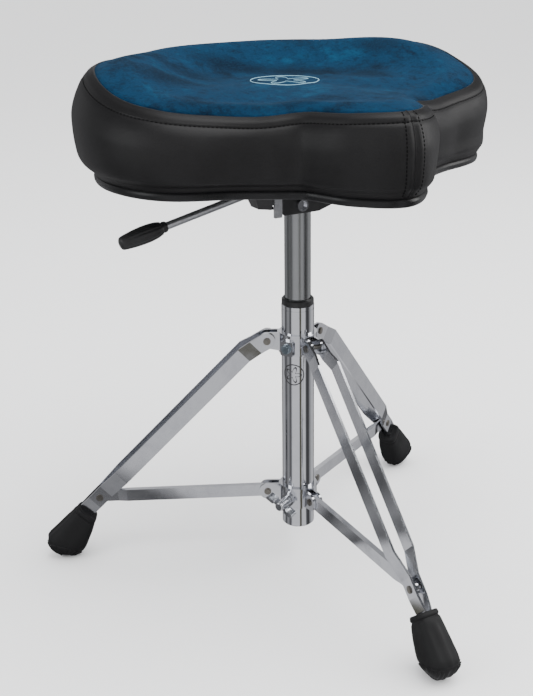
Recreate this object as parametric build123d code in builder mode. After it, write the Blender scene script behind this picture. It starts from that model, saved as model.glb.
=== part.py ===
from build123d import *
import math
import os

os.makedirs("parts", exist_ok=True)

# ---------------------------------------------------------------------------
# Saddle drum throne: padded saddle seat on a gas lift, swivelling and sliding
# in a chromed column that stands on a folding, braced, three-legged base.
# Millimetres. +Z up, origin on the floor under the column axis,
# the nose of the saddle and the first leg point along -Y.
# ---------------------------------------------------------------------------

# ---- driving dimensions ---------------------------------------------------
LEG_AZ = {"front": -90.0, "left": 150.0, "right": 30.0}   # leg azimuths, degrees
CLAMP_AZ = 210.0            # azimuth of the hub screw and of the wing bolt

# column
TUBE_R, TUBE_RI = 17.5, 15.9
TUBE_Z0, TUBE_Z1 = 41.7, 298.5
GROOVE_Z = 294.0
BUSH_TOP = 305.0
CYL_R, CYL_RI = 14.0, 12.4
CYL_Z0, CYL_Z1 = 168.0, 424.0
ROD_R = 5.0

# upper hub and leg linkage (radius from column axis, height)
HUB_Z0, HUB_Z1, HUB_R = 245.0, 267.5, 20.6
P0R, P0Z = 32.8, 258.4      # leg pivot on the hub
P1R, P1Z = 220.2, 73.1      # brace pivot on the leg
CR, CZ = 33.8, 79.9         # brace pivot on the sliding collar
COL_Z0, COL_Z1, COL_R = 66.0, 89.5, 20.6
SLIDE_GAP = 0.1             # collar bore over column, per side

# leg strips
STRIP_W, STRIP_T = 17.5, 2.5
KNEE_R, KNEE_Z = 56.8, 244.0
H_PIVOT, H_WIDE, H_BRACE, H_FOOT = 9.7, 13.0, 5.9, 4.3   # outer half widths

# brace
BRACE_H, BRACE_T, BRACE_TIP_T = 13.6, 5.8, 2.6

# seat
SEAT_CY = -5.0              # saddle centre, towards the nose
BOARD_Z0, BOARD_T = 443.0, 12.0
OUT_A = [0, 14, 28, 42, 56, 72, 90, 110, 135, 160, 180]
OUT_R = [189.2, 167.7, 134.4, 135.3, 147.9, 185.6, 204.3, 206.7, 195.6, 190.8, 186.5]
BULGE = [11.0, 12.0, 13.0, 14.0, 15.0, 17.0, 18.5, 19.0, 19.0, 19.0, 19.0]
TOP_Z, TOP_TILT = 538.0, 4.6   # crown plane height on the axis, fall to the nose
DISH_R, DISH_Z = 562.0, 530.0

# release lever
LEV_PX, LEV_PZ = -24.0, 431.0   # pivot of the release lever (x, z), axis along Y
LEV_Y = -12.0
LEV_A = (-50.0, LEV_Y, 429.7)   # inner end of the rod
LEV_T = (-200.9, LEV_Y, 394.7)  # tip of the grip
PLATE_Z = 439.5


def rad(a):
    return math.radians(a)


def lateral(az):
    return (math.sin(rad(az)), -math.cos(rad(az)), 0)


def radial(az, r, z):
    return (r * math.cos(rad(az)), r * math.sin(rad(az)), z)


def leg_plane(az, off=0.0):
    """Upright plane through the column axis: local x is the radius, local y is height."""
    n = lateral(az)
    return Plane(origin=(n[0] * off, n[1] * off, 0), x_dir=(math.cos(rad(az)), math.sin(rad(az)), 0), z_dir=n)


L1 = math.hypot(P1R - P0R, P1Z - P0Z)
DR, DZ = (P1R - P0R) / L1, (P1Z - P0Z) / L1      # along the leg
WR, WZ = -DZ, DR                                  # across the leg, up and out


def along_plane(az, r0, z0, dr, dz):
    """Plane holding the leg's length and the sideways direction, normal across the strip."""
    c, s = math.cos(rad(az)), math.sin(rad(az))
    return Plane(origin=(r0 * c, r0 * s, z0), x_dir=(dr * c, dr * s, dz), z_dir=(-dz * c, -dz * s, dr))


def try_fillet(part, edges, radii):
    for r in radii:
        try:
            fillet(edges, r)
            return r
        except Exception:
            continue
    return 0.0


def out_radius(deg, table):
    """Even, smooth interpolation of a table given from nose (0) to rear (180)."""
    a = abs((deg + 180.0) % 360.0 - 180.0)
    xs, ys = OUT_A, table
    n = len(xs)
    m = [0.0] * n
    for i in range(1, n - 1):
        d0 = (ys[i] - ys[i - 1]) / (xs[i] - xs[i - 1])
        d1 = (ys[i + 1] - ys[i]) / (xs[i + 1] - xs[i])
        m[i] = (d0 * (xs[i + 1] - xs[i]) + d1 * (xs[i] - xs[i - 1])) / (xs[i + 1] - xs[i - 1])
    for i in range(n - 1):
        if a <= xs[i + 1]:
            h = xs[i + 1] - xs[i]
            t = (a - xs[i]) / h
            return ((2 * t**3 - 3 * t**2 + 1) * ys[i] + (t**3 - 2 * t**2 + t) * h * m[i]
                    + (-2 * t**3 + 3 * t**2) * ys[i + 1] + (t**3 - t**2) * h * m[i + 1])
    return ys[-1]


def saddle_points(grow, bulge=0.0, n=36):
    pts = []
    for k in range(n):
        a = 360.0 * k / n
        r = out_radius(a, OUT_R) + grow + bulge * out_radius(a, BULGE)
        pts.append((r * math.sin(rad(a)), SEAT_CY - r * math.cos(rad(a))))
    return pts


# ===========================================================================
# Column (root)
# ===========================================================================
with BuildPart() as column_tube:
    with BuildSketch(Plane.XZ):
        with BuildLine():
            Polyline((TUBE_RI, TUBE_Z0), (TUBE_R - 1.2, TUBE_Z0), (TUBE_R, TUBE_Z0 + 1.2),
                     (TUBE_R, GROOVE_Z - 0.5), (TUBE_R - 0.35, GROOVE_Z - 0.3), (TUBE_R - 0.35, GROOVE_Z + 0.3),
                     (TUBE_R, GROOVE_Z + 0.5), (TUBE_R, TUBE_Z1 - 0.6), (TUBE_R - 0.6, TUBE_Z1),
                     (TUBE_RI, TUBE_Z1), close=True)
        make_face()
    revolve(axis=Axis.Z)
column_tube.part.label = "column_tube"
export_step(column_tube.part, "parts/column_tube.step")

# guide bush: black plastic liner with a flange that caps the tube
with BuildPart() as guide_bush:
    with BuildSketch(Plane.XZ):
        with BuildLine():
            Polyline((CYL_R + 0.08, 205.0), (TUBE_RI - 0.02, 205.0), (TUBE_RI - 0.02, TUBE_Z1 + 0.02),
                     (17.2, TUBE_Z1 + 0.02), (17.2, BUSH_TOP - 1.4), (16.0, BUSH_TOP), (CYL_R + 0.6, BUSH_TOP),
                     (CYL_R + 0.08, BUSH_TOP - 0.6), close=True)
        make_face()
    revolve(axis=Axis.Z)
guide_bush.part.label = "guide_bush"
export_step(guide_bush.part, "parts/guide_bush.step")

# base plug: steel disc pressed in the foot of the tube; carries the piston rod
with BuildPart() as base_plug:
    with BuildSketch(Plane.XY.offset(44.0)):
        Circle(TUBE_RI)
        Circle(ROD_R - 0.95, mode=Mode.SUBTRACT)
    extrude(amount=5.0)
    with BuildSketch(Plane.XY.offset(49.0)):
        Circle(TUBE_RI)
        Circle(11.5, mode=Mode.SUBTRACT)
    extrude(amount=5.0)
base_plug.part.label = "base_plug"
export_step(base_plug.part, "parts/base_plug.step")

# leg hub: ring clamped on the tube with three pairs of cheeks for the legs
CHEEK_IN, CHEEK_OUT = 4.4, 6.9
with BuildPart() as leg_hub:
    with BuildSketch(Plane.XY.offset(HUB_Z0)):
        Circle(HUB_R)
    extrude(amount=HUB_Z1 - HUB_Z0)
    for az in LEG_AZ.values():
        with BuildSketch(leg_plane(az)):
            with BuildLine():
                Polyline((15.0, HUB_Z0 + 1.0), (P0R - 3.0, HUB_Z0 + 4.0), (P0R + 4.0, P0Z - 7.4), (P0R + 4.0, P0Z + 7.6),
                         (P0R, P0Z + 8.6), (15.0, HUB_Z1 - 0.3), close=True)
            make_face()
            with Locations((P0R, P0Z)):
                Circle(8.6)
        extrude(amount=CHEEK_OUT, both=True)
    with BuildSketch(Plane(origin=radial(CLAMP_AZ, 15.0, 254.0), x_dir=lateral(CLAMP_AZ), z_dir=radial(CLAMP_AZ, 1, 0))):
        RectangleRounded(15.0, 16.0, 2.0)
    extrude(amount=9.6)
    for az in LEG_AZ.values():
        with BuildSketch(leg_plane(az)):
            with BuildLine():
                Polyline((HUB_R + 1.2, HUB_Z0 - 5), (P0R + 15, HUB_Z0 - 5), (P0R + 15, HUB_Z1 + 5), (HUB_R + 1.2, HUB_Z1 + 5), close=True)
            make_face()
        extrude(amount=CHEEK_IN, both=True, mode=Mode.SUBTRACT)
        with BuildSketch(leg_plane(az)):
            with Locations((P0R, P0Z)):
                Circle(2.56)
        extrude(amount=10, both=True, mode=Mode.SUBTRACT)
    with BuildSketch(Plane.XY.offset(HUB_Z0 - 1)):
        Circle(TUBE_R)
    extrude(amount=30, mode=Mode.SUBTRACT)
    with BuildSketch(Plane(origin=radial(CLAMP_AZ, 15.0, 254.0), x_dir=lateral(CLAMP_AZ), z_dir=radial(CLAMP_AZ, 1, 0))):
        Circle(3.0)
    extrude(amount=12.0, mode=Mode.SUBTRACT)
leg_hub.part.label = "leg_hub"
export_step(leg_hub.part, "parts/leg_hub.step")

# slotted clamp screw through the hub's boss
with BuildPart() as hub_clamp_screw:
    with BuildSketch(Plane(origin=radial(CLAMP_AZ, TUBE_R, 254.0), x_dir=lateral(CLAMP_AZ), z_dir=radial(CLAMP_AZ, 1, 0))):
        Circle(3.0)
    extrude(amount=24.6 - TUBE_R)
    with BuildSketch(Plane(origin=radial(CLAMP_AZ, 24.6, 254.0), x_dir=lateral(CLAMP_AZ), z_dir=radial(CLAMP_AZ, 1, 0))):
        Circle(5.2)
    extrude(amount=3.2)
    fillet(hub_clamp_screw.edges().group_by(Axis(origin=(0, 0, 0), direction=radial(CLAMP_AZ, 1, 0)))[-1], 1.2)
    with BuildSketch(Plane(origin=radial(CLAMP_AZ, 26.3, 254.0), x_dir=lateral(CLAMP_AZ), z_dir=radial(CLAMP_AZ, 1, 0))):
        Rectangle(12.0, 1.4, rotation=35)
    extrude(amount=4.0, mode=Mode.SUBTRACT)
hub_clamp_screw.part.label = "hub_clamp_screw"
export_step(hub_clamp_screw.part, "parts/hub_clamp_screw.step")

# ===========================================================================
# Swivel group inside the column: rod on its thrust bearing
# ===========================================================================
with BuildPart() as piston_rod:
    with BuildSketch(Plane.XY.offset(43.2)):
        Circle(ROD_R - 1.0)
    extrude(amount=8.0)
    with BuildSketch(Plane.XY.offset(50.2)):
        Circle(ROD_R)
    extrude(amount=240.0 - 50.2)
    with BuildSketch(Plane.XY.offset(43.2)):
        Circle(ROD_R)
        Circle(ROD_R - 1.6, mode=Mode.SUBTRACT)
    extrude(amount=0.6, mode=Mode.SUBTRACT)
piston_rod.part.label = "piston_rod"
export_step(piston_rod.part, "parts/piston_rod.step")

with BuildPart() as piston:
    with BuildSketch(Plane.XZ):
        with BuildLine():
            Polyline((ROD_R, 232), (CYL_RI - 0.08, 232), (CYL_RI - 0.08, 234.4), (CYL_RI - 1.0, 234.4), (CYL_RI - 1.0, 236.6),
                     (CYL_RI - 0.08, 236.6), (CYL_RI - 0.08, 239.5), (ROD_R, 239.5), close=True)
        make_face()
    revolve(axis=Axis.Z)
piston.part.label = "piston"
export_step(piston.part, "parts/piston.step")

with BuildPart() as thrust_washers:
    with BuildSketch(Plane.XY.offset(49.05)):
        Circle(10.8)
        Circle(ROD_R - 0.9, mode=Mode.SUBTRACT)
    extrude(amount=1.1)
    with BuildSketch(Plane.XY.offset(53.4)):
        Circle(10.8)
        Circle(ROD_R, mode=Mode.SUBTRACT)
    extrude(amount=1.2)
thrust_washers.part.label = "thrust_washers"
export_step(thrust_washers.part, "parts/thrust_washers.step")

with BuildPart() as thrust_balls:
    with PolarLocations(8.0, 8):
        with Locations((0, 0, 51.78)):
            Sphere(1.6)
thrust_balls.part.label = "thrust_balls"
export_step(thrust_balls.part, "parts/thrust_balls.step")

with BuildPart() as bump_stop:
    with BuildSketch(Plane.XZ):
        with BuildLine():
            Polyline((ROD_R, 54.8), (10.5, 54.8), (10.5, 58), (9.3, 60), (10.5, 62), (10.5, 66), (9.3, 68), (10.2, 70),
                     (9.6, 73.5), (ROD_R, 73.5), close=True)
        make_face()
    revolve(axis=Axis.Z)
bump_stop.part.label = "bump_stop"
export_step(bump_stop.part, "parts/bump_stop.step")

with BuildPart() as rod_clip:
    with BuildSketch(Plane.XY.offset(42.6)):
        Circle(8.0)
        Circle(ROD_R - 1.0, mode=Mode.SUBTRACT)
        with Locations((0, -6)):
            Rectangle(4.6, 8.0, mode=Mode.SUBTRACT)
    extrude(amount=1.2)
rod_clip.part.label = "rod_clip"
export_step(rod_clip.part, "parts/rod_clip.step")

# ===========================================================================
# Sliding brace collar
# ===========================================================================
LUG_IN, LUG_OUT = 3.25, 5.7
with BuildPart() as brace_collar:
    with BuildSketch(Plane.XY.offset(COL_Z0)):
        Circle(COL_R)
    extrude(amount=COL_Z1 - COL_Z0)
    for az in LEG_AZ.values():
        with BuildSketch(leg_plane(az)):
            with BuildLine():
                Polyline((15.0, COL_Z0 + 2.0), (CR, CZ - 9.2), (CR, CZ + 9.2), (15.0, COL_Z1 - 0.3), close=True)
            make_face()
            with Locations((CR, CZ)):
                Circle(9.2)
        extrude(amount=LUG_OUT, both=True)
    with BuildSketch(Plane(origin=radial(CLAMP_AZ, 15.0, 77.0), x_dir=lateral(CLAMP_AZ), z_dir=radial(CLAMP_AZ, 1, 0))):
        Circle(7.4)
    extrude(amount=8.6)
    for az in LEG_AZ.values():
        with BuildSketch(leg_plane(az)):
            with BuildLine():
                Polyline((HUB_R + 0.8, COL_Z0 - 5), (CR + 15, COL_Z0 - 5), (CR + 15, COL_Z1 + 5), (HUB_R + 0.8, COL_Z1 + 5), close=True)
            make_face()
        extrude(amount=LUG_IN, both=True, mode=Mode.SUBTRACT)
        with BuildSketch(leg_plane(az)):
            with Locations((CR, CZ)):
                Circle(2.5)
        extrude(amount=10, both=True, mode=Mode.SUBTRACT)
    with BuildSketch(Plane.XY.offset(COL_Z0 - 1)):
        Circle(TUBE_R + SLIDE_GAP)
    extrude(amount=30, mode=Mode.SUBTRACT)
    with BuildSketch(Plane(origin=radial(CLAMP_AZ, 15.0, 77.0), x_dir=lateral(CLAMP_AZ), z_dir=radial(CLAMP_AZ, 1, 0))):
        Circle(3.06)
    extrude(amount=12.0, mode=Mode.SUBTRACT)
brace_collar.part.label = "brace_collar"
export_step(brace_collar.part, "parts/brace_collar.step")

with BuildPart() as collar_rivets:
    for az in LEG_AZ.values():
        with BuildSketch(leg_plane(az)):
            with Locations((CR, CZ)):
                Circle(2.5)
        extrude(amount=LUG_OUT, both=True)
        for side in (1, -1):
            with BuildSketch(leg_plane(az, side * LUG_OUT)):
                with Locations((CR, CZ)):
                    Circle(3.9)
            extrude(amount=side * 0.9)
            with BuildSketch(leg_plane(az, side * (LUG_OUT + 0.9))):
                with Locations((CR, CZ)):
                    Circle(2.7)
            extrude(amount=side * 0.5)
collar_rivets.part.label = "collar_rivets"
export_step(collar_rivets.part, "parts/collar_rivets.step")

# wing bolt that locks the collar on the column
WING_TILT = -27.8
wing_plane = Plane(origin=radial(CLAMP_AZ, 0.0, 77.0), x_dir=(-math.sin(rad(CLAMP_AZ)), math.cos(rad(CLAMP_AZ)), 0),
                   z_dir=radial(CLAMP_AZ, 1, 0))
with BuildPart() as wing_bolt:
    with BuildSketch(wing_plane.offset(TUBE_R + 0.45)):
        Circle(3.0)
    extrude(amount=8.0)
    with BuildSketch(wing_plane.offset(24.1)):
        Circle(5.0)
    extrude(amount=19.0)
    fillet(wing_bolt.edges().group_by(Axis(origin=(0, 0, 0), direction=radial(CLAMP_AZ, 1, 0)))[-1], 1.6)
    with BuildSketch(wing_plane.offset(33.5)):
        with Locations(Rotation(0, 0, WING_TILT)):
            Rectangle(19.0, 3.4)
    extrude(amount=7.5)
    for side in (1, -1):
        with BuildSketch(wing_plane.offset(32.0)):
            with Locations(Rotation(0, 0, WING_TILT) * Location((side * 12.6, 0, 0))):
                RectangleRounded(10.0, 3.8, 1.2)
        extrude(amount=11.0)
wing_bolt.part.label = "wing_bolt"
export_step(wing_bolt.part, "parts/wing_bolt.step")

# ===========================================================================
# Legs: two bent strips, two rivets, a rubber foot and a brace, three times
# ===========================================================================
EL = math.hypot(P1R - KNEE_R, P1Z - KNEE_Z)
ER, EZ = (P1R - KNEE_R) / EL, (P1Z - KNEE_Z) / EL          # lower strip direction
FR, FZ = (KNEE_R - P0R), (KNEE_Z - P0Z)
FL = math.hypot(FR, FZ)
FR, FZ = FR / FL, FZ / FL                                   # first strip direction
END = 36.0                                                  # strip past the brace pivot
EN_R, EN_Z = P1R + END * ER, P1Z + END * EZ


def strip_side(az, side):
    """Outline seen from the side: rounded top end, one knee, tapered buried end."""
    w = STRIP_W / 2
    half = rad(0.5 * math.degrees(math.atan2(-EZ, ER) - math.atan2(-FZ, FR)))
    mr, mz = -(FZ + EZ), (FR + ER)
    ml = math.hypot(mr, mz)
    mr, mz, k = mr / ml, mz / ml, w / math.cos(half)
    u = END - 14.0
    return [
        (P0R - FZ * w, P0Z + FR * w), (KNEE_R + mr * k, KNEE_Z + mz * k),
        (P1R + u * ER - EZ * w, P1Z + u * EZ + ER * w),
        (EN_R - EZ * 4.0, EN_Z + ER * 4.0), (EN_R + EZ * 4.0, EN_Z - ER * 4.0),
        (P1R + u * ER + EZ * w, P1Z + u * EZ - ER * w),
        (KNEE_R - mr * k, KNEE_Z - mz * k), (P0R + FZ * w, P0Z - FR * w),
    ]


def strip_bend(side):
    """Outline seen along the width: jog out below the hub, jog in above the brace, closing to the foot."""
    s = [-12.0, 13.5, 28.0, L1 - 37.0, L1 - 10.5, L1 + 8.5, L1 + 24.0, L1 + 60.0]
    h = [H_PIVOT, H_PIVOT, H_WIDE, H_WIDE - 0.6, H_BRACE, H_BRACE, H_FOOT, H_FOOT]
    outer = [(a, side * b) for a, b in zip(s, h)]
    inner = [(a, side * (b - STRIP_T)) for a, b in zip(s, h)]
    return outer + inner[::-1]


STRIP_SIDE = {"a": 1, "b": -1}
for leg, az in LEG_AZ.items():
    for tag, side in STRIP_SIDE.items():
        with BuildPart() as leg_strip:
            with BuildSketch(leg_plane(az)):
                with BuildLine():
                    Polyline(*strip_side(az, side), close=True)
                make_face()
                with Locations((P0R, P0Z)):
                    Circle(STRIP_W / 2)
            extrude(amount=25, both=True)
            with BuildSketch(along_plane(az, P0R, P0Z, DR, DZ)):
                with BuildLine():
                    Polyline(*strip_bend(side), close=True)
                make_face()
            extrude(amount=60, both=True, mode=Mode.INTERSECT)
            with BuildSketch(leg_plane(az)):
                with Locations((P0R, P0Z), (P1R, P1Z)):
                    Circle(2.5)
            extrude(amount=25, both=True, mode=Mode.SUBTRACT)
        name = "leg_strip_%s_%s" % (leg, tag)
        leg_strip.part.label = name
        export_step(leg_strip.part, "parts/%s.step" % name)

    # rivet through both strips and the hub's cheeks
    with BuildPart() as pivot_rivet:
        with BuildSketch(leg_plane(az)):
            with Locations((P0R, P0Z)):
                Circle(2.5)
        extrude(amount=H_PIVOT, both=True)
        for side in (1, -1):
            with BuildSketch(leg_plane(az, side * H_PIVOT)):
                with Locations((P0R, P0Z)):
                    Circle(4.0)
            extrude(amount=side * 0.8)
            with BuildSketch(leg_plane(az, side * (H_PIVOT + 0.8))):
                with Locations((P0R, P0Z)):
                    Circle(2.9)
            extrude(amount=side * 0.5)
    name = "pivot_rivet_" + leg
    pivot_rivet.part.label = name
    export_step(pivot_rivet.part, "parts/%s.step" % name)

    # brace rivet: a headed half in each strip
    with BuildPart() as brace_rivet:
        for side in (1, -1):
            with BuildSketch(leg_plane(az, side * (H_BRACE - STRIP_T))):
                with Locations((P1R, P1Z)):
                    Circle(2.5)
            extrude(amount=side * STRIP_T)
            with BuildSketch(leg_plane(az, side * H_BRACE)):
                with Locations((P1R, P1Z)):
                    Circle(3.9)
            extrude(amount=side * 0.8)
            with BuildSketch(leg_plane(az, side * (H_BRACE + 0.8))):
                with Locations((P1R, P1Z)):
                    Circle(2.7)
            extrude(amount=side * 0.5)
    name = "brace_rivet_" + leg
    brace_rivet.part.label = name
    export_step(brace_rivet.part, "parts/%s.step" % name)

    # rubber foot: flared boot with a flat sole on the floor and pockets for the strips
    with BuildPart() as rubber_foot:
        with BuildSketch(leg_plane(az)):
            with BuildLine():
                Polyline((226.2, 46.6), (242.3, 60.1), (245.6, 59.9), (250.5, 56.0), (279.2, 27.2), (281.3, 20.6), (279.0, 12.5), (273.8, 5.2),
                         (267.4, 0.0), (253.6, 0.0), (244.8, 4.4), (239.2, 11.0), (234.6, 22.0), (229.2, 36.4), close=True)
            make_face()
        extrude(amount=18.7, both=True)
        # plan outline across the boot: narrow at the collar, wide at the sole
        fa = (0.60, -0.80)
        with BuildSketch(along_plane(az, 235.0, 54.0, fa[0], fa[1])):
            with BuildLine():
                Polyline((-12, 11.6), (8, 12.0), (12, 12.4), (34, 17.2), (46, 18.7), (56, 18.0), (62, 15.6), (70, 12.0),
                         (70, -12.0), (62, -15.6), (56, -18.0), (46, -18.7), (34, -17.2), (12, -12.4), (8, -12.0),
                         (-12, -11.6), close=True)
            make_face()
        extrude(amount=60, both=True, mode=Mode.INTERSECT)
        with BuildSketch(leg_plane(az)):
            with BuildLine():
                w = STRIP_W / 2 + 0.02
                u = END - 14.0
                Polyline((P1R - EZ * w, P1Z + ER * w), (P1R + u * ER - EZ * w, P1Z + u * EZ + ER * w),
                         (EN_R - EZ * 4.02 + ER * 0.1, EN_Z + ER * 4.02 + EZ * 0.1),
                         (EN_R + EZ * 4.02 + ER * 0.1, EN_Z - ER * 4.02 + EZ * 0.1),
                         (P1R + u * ER + EZ * w, P1Z + u * EZ - ER * w), (P1R + EZ * w, P1Z - ER * w), close=True)
            make_face()
        extrude(amount=H_FOOT + 0.6, both=True, mode=Mode.SUBTRACT)
    name = "rubber_foot_" + leg
    rubber_foot.part.label = name
    export_step(rubber_foot.part, "parts/%s.step" % name)

    # brace: flattened steel bar, pressed thin at its outer end
    with BuildPart() as brace:
        bl = math.hypot(P1R - CR, P1Z - CZ)
        ba = math.degrees(math.atan2(P1Z - CZ, P1R - CR))
        with BuildSketch(leg_plane(az)):
            with Locations(Location(((CR + P1R) / 2, (CZ + P1Z) / 2, 0), (0, 0, ba))):
                SlotCenterToCenter(bl, BRACE_H)
        extrude(amount=BRACE_T / 2, both=True)
        bd = (math.cos(rad(ba)), math.sin(rad(ba)))
        with BuildSketch(along_plane(az, CR, CZ, bd[0], bd[1])):
            with BuildLine():
                Polyline((-20, BRACE_T / 2), (bl - 30, BRACE_T / 2), (bl - 20, BRACE_TIP_T / 2), (bl + 20, BRACE_TIP_T / 2),
                         (bl + 20, -BRACE_TIP_T / 2), (bl - 20, -BRACE_TIP_T / 2), (bl - 30, -BRACE_T / 2), (-20, -BRACE_T / 2), close=True)
            make_face()
        extrude(amount=30, both=True, mode=Mode.INTERSECT)
        with BuildSketch(leg_plane(az)):
            with Locations((CR, CZ)):
                Circle(2.56)
            with Locations((P1R, P1Z)):
                Circle(2.56)
        extrude(amount=10, both=True, mode=Mode.SUBTRACT)
    name = "brace_" + leg
    brace.part.label = name
    export_step(brace.part, "parts/%s.step" % name)

# ===========================================================================
# Gas lift cylinder and under-seat mechanism
# ===========================================================================
with BuildPart() as gas_cylinder:
    with BuildSketch(Plane.XZ):
        with BuildLine():
            Polyline((CYL_RI, CYL_Z0), (CYL_R - 0.5, CYL_Z0), (CYL_R, CYL_Z0 + 0.5), (CYL_R, CYL_Z1 - 1.5), (CYL_R - 1.5, CYL_Z1),
                     (4.06, CYL_Z1), (4.06, CYL_Z1 - 5.0), (CYL_RI, CYL_Z1 - 5.0), close=True)
        make_face()
    revolve(axis=Axis.Z)
gas_cylinder.part.label = "gas_cylinder"
export_step(gas_cylinder.part, "parts/gas_cylinder.step")

with BuildPart() as rod_guide:
    with BuildSketch(Plane.XZ):
        with BuildLine():
            Polyline((ROD_R + 0.06, CYL_Z0 + 0.5), (CYL_RI, CYL_Z0 + 0.5), (CYL_RI, CYL_Z0 + 12), (ROD_R + 0.06, CYL_Z0 + 12), close=True)
        make_face()
    revolve(axis=Axis.Z)
rod_guide.part.label = "rod_guide"
export_step(rod_guide.part, "parts/rod_guide.step")

with BuildPart() as valve_button:
    with BuildSketch(Plane.XY.offset(CYL_Z1 - 8)):
        Circle(4.0)
    extrude(amount=12.3)
    fillet(valve_button.edges().group_by(Axis.Z)[-1], 1.0)
valve_button.part.label = "valve_button"
export_step(valve_button.part, "parts/valve_button.step")

# socket that the cylinder's top is pressed into
with BuildPart() as cylinder_socket:
    with BuildSketch(Plane.XY.offset(404.0)):
        Circle(17.2)
        Circle(CYL_R, mode=Mode.SUBTRACT)
    extrude(amount=20.0)
    with BuildSketch(Plane.XY.offset(420.0)):
        with Locations((0, 18.4), (0, -18.4)):
            Rectangle(24.0, 4.0)
        Circle(17.2, mode=Mode.SUBTRACT)
    extrude(amount=3.0)
cylinder_socket.part.label = "cylinder_socket"
export_step(cylinder_socket.part, "parts/cylinder_socket.step")

# pressed channel: two deep walls and a top web, open at both ends
CH_Y, CH_X = 23.0, 30.0
with BuildPart() as mechanism_channel:
    with BuildSketch(Plane.XZ.offset(CH_Y)):
        with BuildLine():
            Polyline((-CH_X, PLATE_Z), (-CH_X, 403.5), (-CH_X + 1.5, 402.0), (12.0, 402.0), (34.0, 409.0), (50.0, 430.0), (50.0, PLATE_Z), close=True)
        make_face()
    extrude(amount=-2 * CH_Y)
    with BuildSketch(Plane.XZ.offset(CH_Y - 2.5)):
        with Locations((10.0, 400.0 + (PLATE_Z - 2.5 - 400.0) / 2)):
            Rectangle(200.0, PLATE_Z - 2.5 - 400.0)
    extrude(amount=-2 * (CH_Y - 2.5), mode=Mode.SUBTRACT)
    with BuildSketch(Plane.XZ.offset(CH_Y + 1)):
        with Locations((LEV_PX, LEV_PZ)):
            Circle(3.0)
    extrude(amount=-2 * CH_Y - 2, mode=Mode.SUBTRACT)
    with BuildSketch(Plane.XZ.offset(CH_Y + 1)):
        with Locations((-9.0, 411.0)):
            Circle(3.0)
    extrude(amount=-8, mode=Mode.SUBTRACT)
mechanism_channel.part.label = "mechanism_channel"
export_step(mechanism_channel.part, "parts/mechanism_channel.step")

# round-headed bolt in the channel's front wall
with BuildPart() as channel_bolt:
    with BuildSketch(Plane.XZ.offset(CH_Y)):
        with Locations((-9.0, 411.0)):
            Circle(6.2)
    extrude(amount=4.2)
    with BuildSketch(Plane.XZ.offset(CH_Y + 1.2)):
        with Locations((-9.0, 411.0)):
            Circle(4.4)
    extrude(amount=4.0, mode=Mode.SUBTRACT)
    with BuildSketch(Plane.XZ.offset(CH_Y)):
        with Locations((-9.0, 411.0)):
            Circle(3.0)
    extrude(amount=-2.5)
channel_bolt.part.label = "channel_bolt"
export_step(channel_bolt.part, "parts/channel_bolt.step")

# seat plate with a chamfered, down-turned skirt, bolted under the board
SKIRT_Z = 408.0
SKIRT_TOP = [(-62, -16), (-34, -36), (34, -36), (62, -16), (62, 16), (34, 36), (-34, 36), (-62, 16)]
SKIRT_LOW = [(-50, -8), (-31, -24), (31, -24), (50, -8), (50, 8), (31, 24), (-31, 24), (-50, 8)]
with BuildPart() as seat_plate:
    with BuildSketch(Plane.XY.offset(PLATE_Z)):
        RectangleRounded(150.0, 110.0, 12.0)
        with Locations((-60, -42), (60, -42), (60, 42), (-60, 42)):
            Circle(3.2, mode=Mode.SUBTRACT)
    extrude(amount=2.5)
seat_plate.part.label = "seat_plate"
export_step(seat_plate.part, "parts/seat_plate.step")

with BuildPart() as plate_skirt:
    with BuildSketch(Plane.XY.offset(PLATE_Z)):
        with BuildLine():
            Polyline(*SKIRT_TOP, close=True)
        make_face()
    with BuildSketch(Plane.XY.offset(SKIRT_Z)):
        with BuildLine():
            Polyline(*SKIRT_LOW, close=True)
        make_face()
    loft()
    with BuildSketch(Plane.XY.offset(PLATE_Z + 0.01)):
        with BuildLine():
            Polyline(*[(x * (1 - 2.2 / abs(x)), y * (1 - 2.2 / abs(y))) for x, y in SKIRT_TOP], close=True)
        make_face()
    with BuildSketch(Plane.XY.offset(SKIRT_Z - 0.1)):
        with BuildLine():
            Polyline(*[(x * (1 - 2.2 / abs(x)), y * (1 - 2.2 / abs(y))) for x, y in SKIRT_LOW], close=True)
        make_face()
    loft(mode=Mode.SUBTRACT)
    # the channel passes through the skirt, the front is open, and the lever leaves to the left
    with BuildSketch(Plane.XY.offset(400.0)):
        with Locations((11.0, 0.0)):
            Rectangle(84.0, 2 * CH_Y + 0.2)
        with Locations((16.5, -30.0)):
            Rectangle(113.0, 28.0)
    extrude(amount=50.0, mode=Mode.SUBTRACT)
    with BuildSketch(Plane.XY.offset(420.0)):
        with Locations((-55.0, LEV_Y)):
            Rectangle(60.0, 18.0)
    extrude(amount=30.0, mode=Mode.SUBTRACT)
plate_skirt.part.label = "plate_skirt"

# ===========================================================================
# Release lever
# ===========================================================================
ldx, ldz = LEV_T[0] - LEV_A[0], LEV_T[2] - LEV_A[2]
LLEN = math.hypot(ldx, ldz)
ldx, ldz = ldx / LLEN, ldz / LLEN
rod_plane = Plane(origin=LEV_A, x_dir=(0, 1, 0), z_dir=(ldx, 0, ldz))
GRIP_LEN = 49.0

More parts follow.
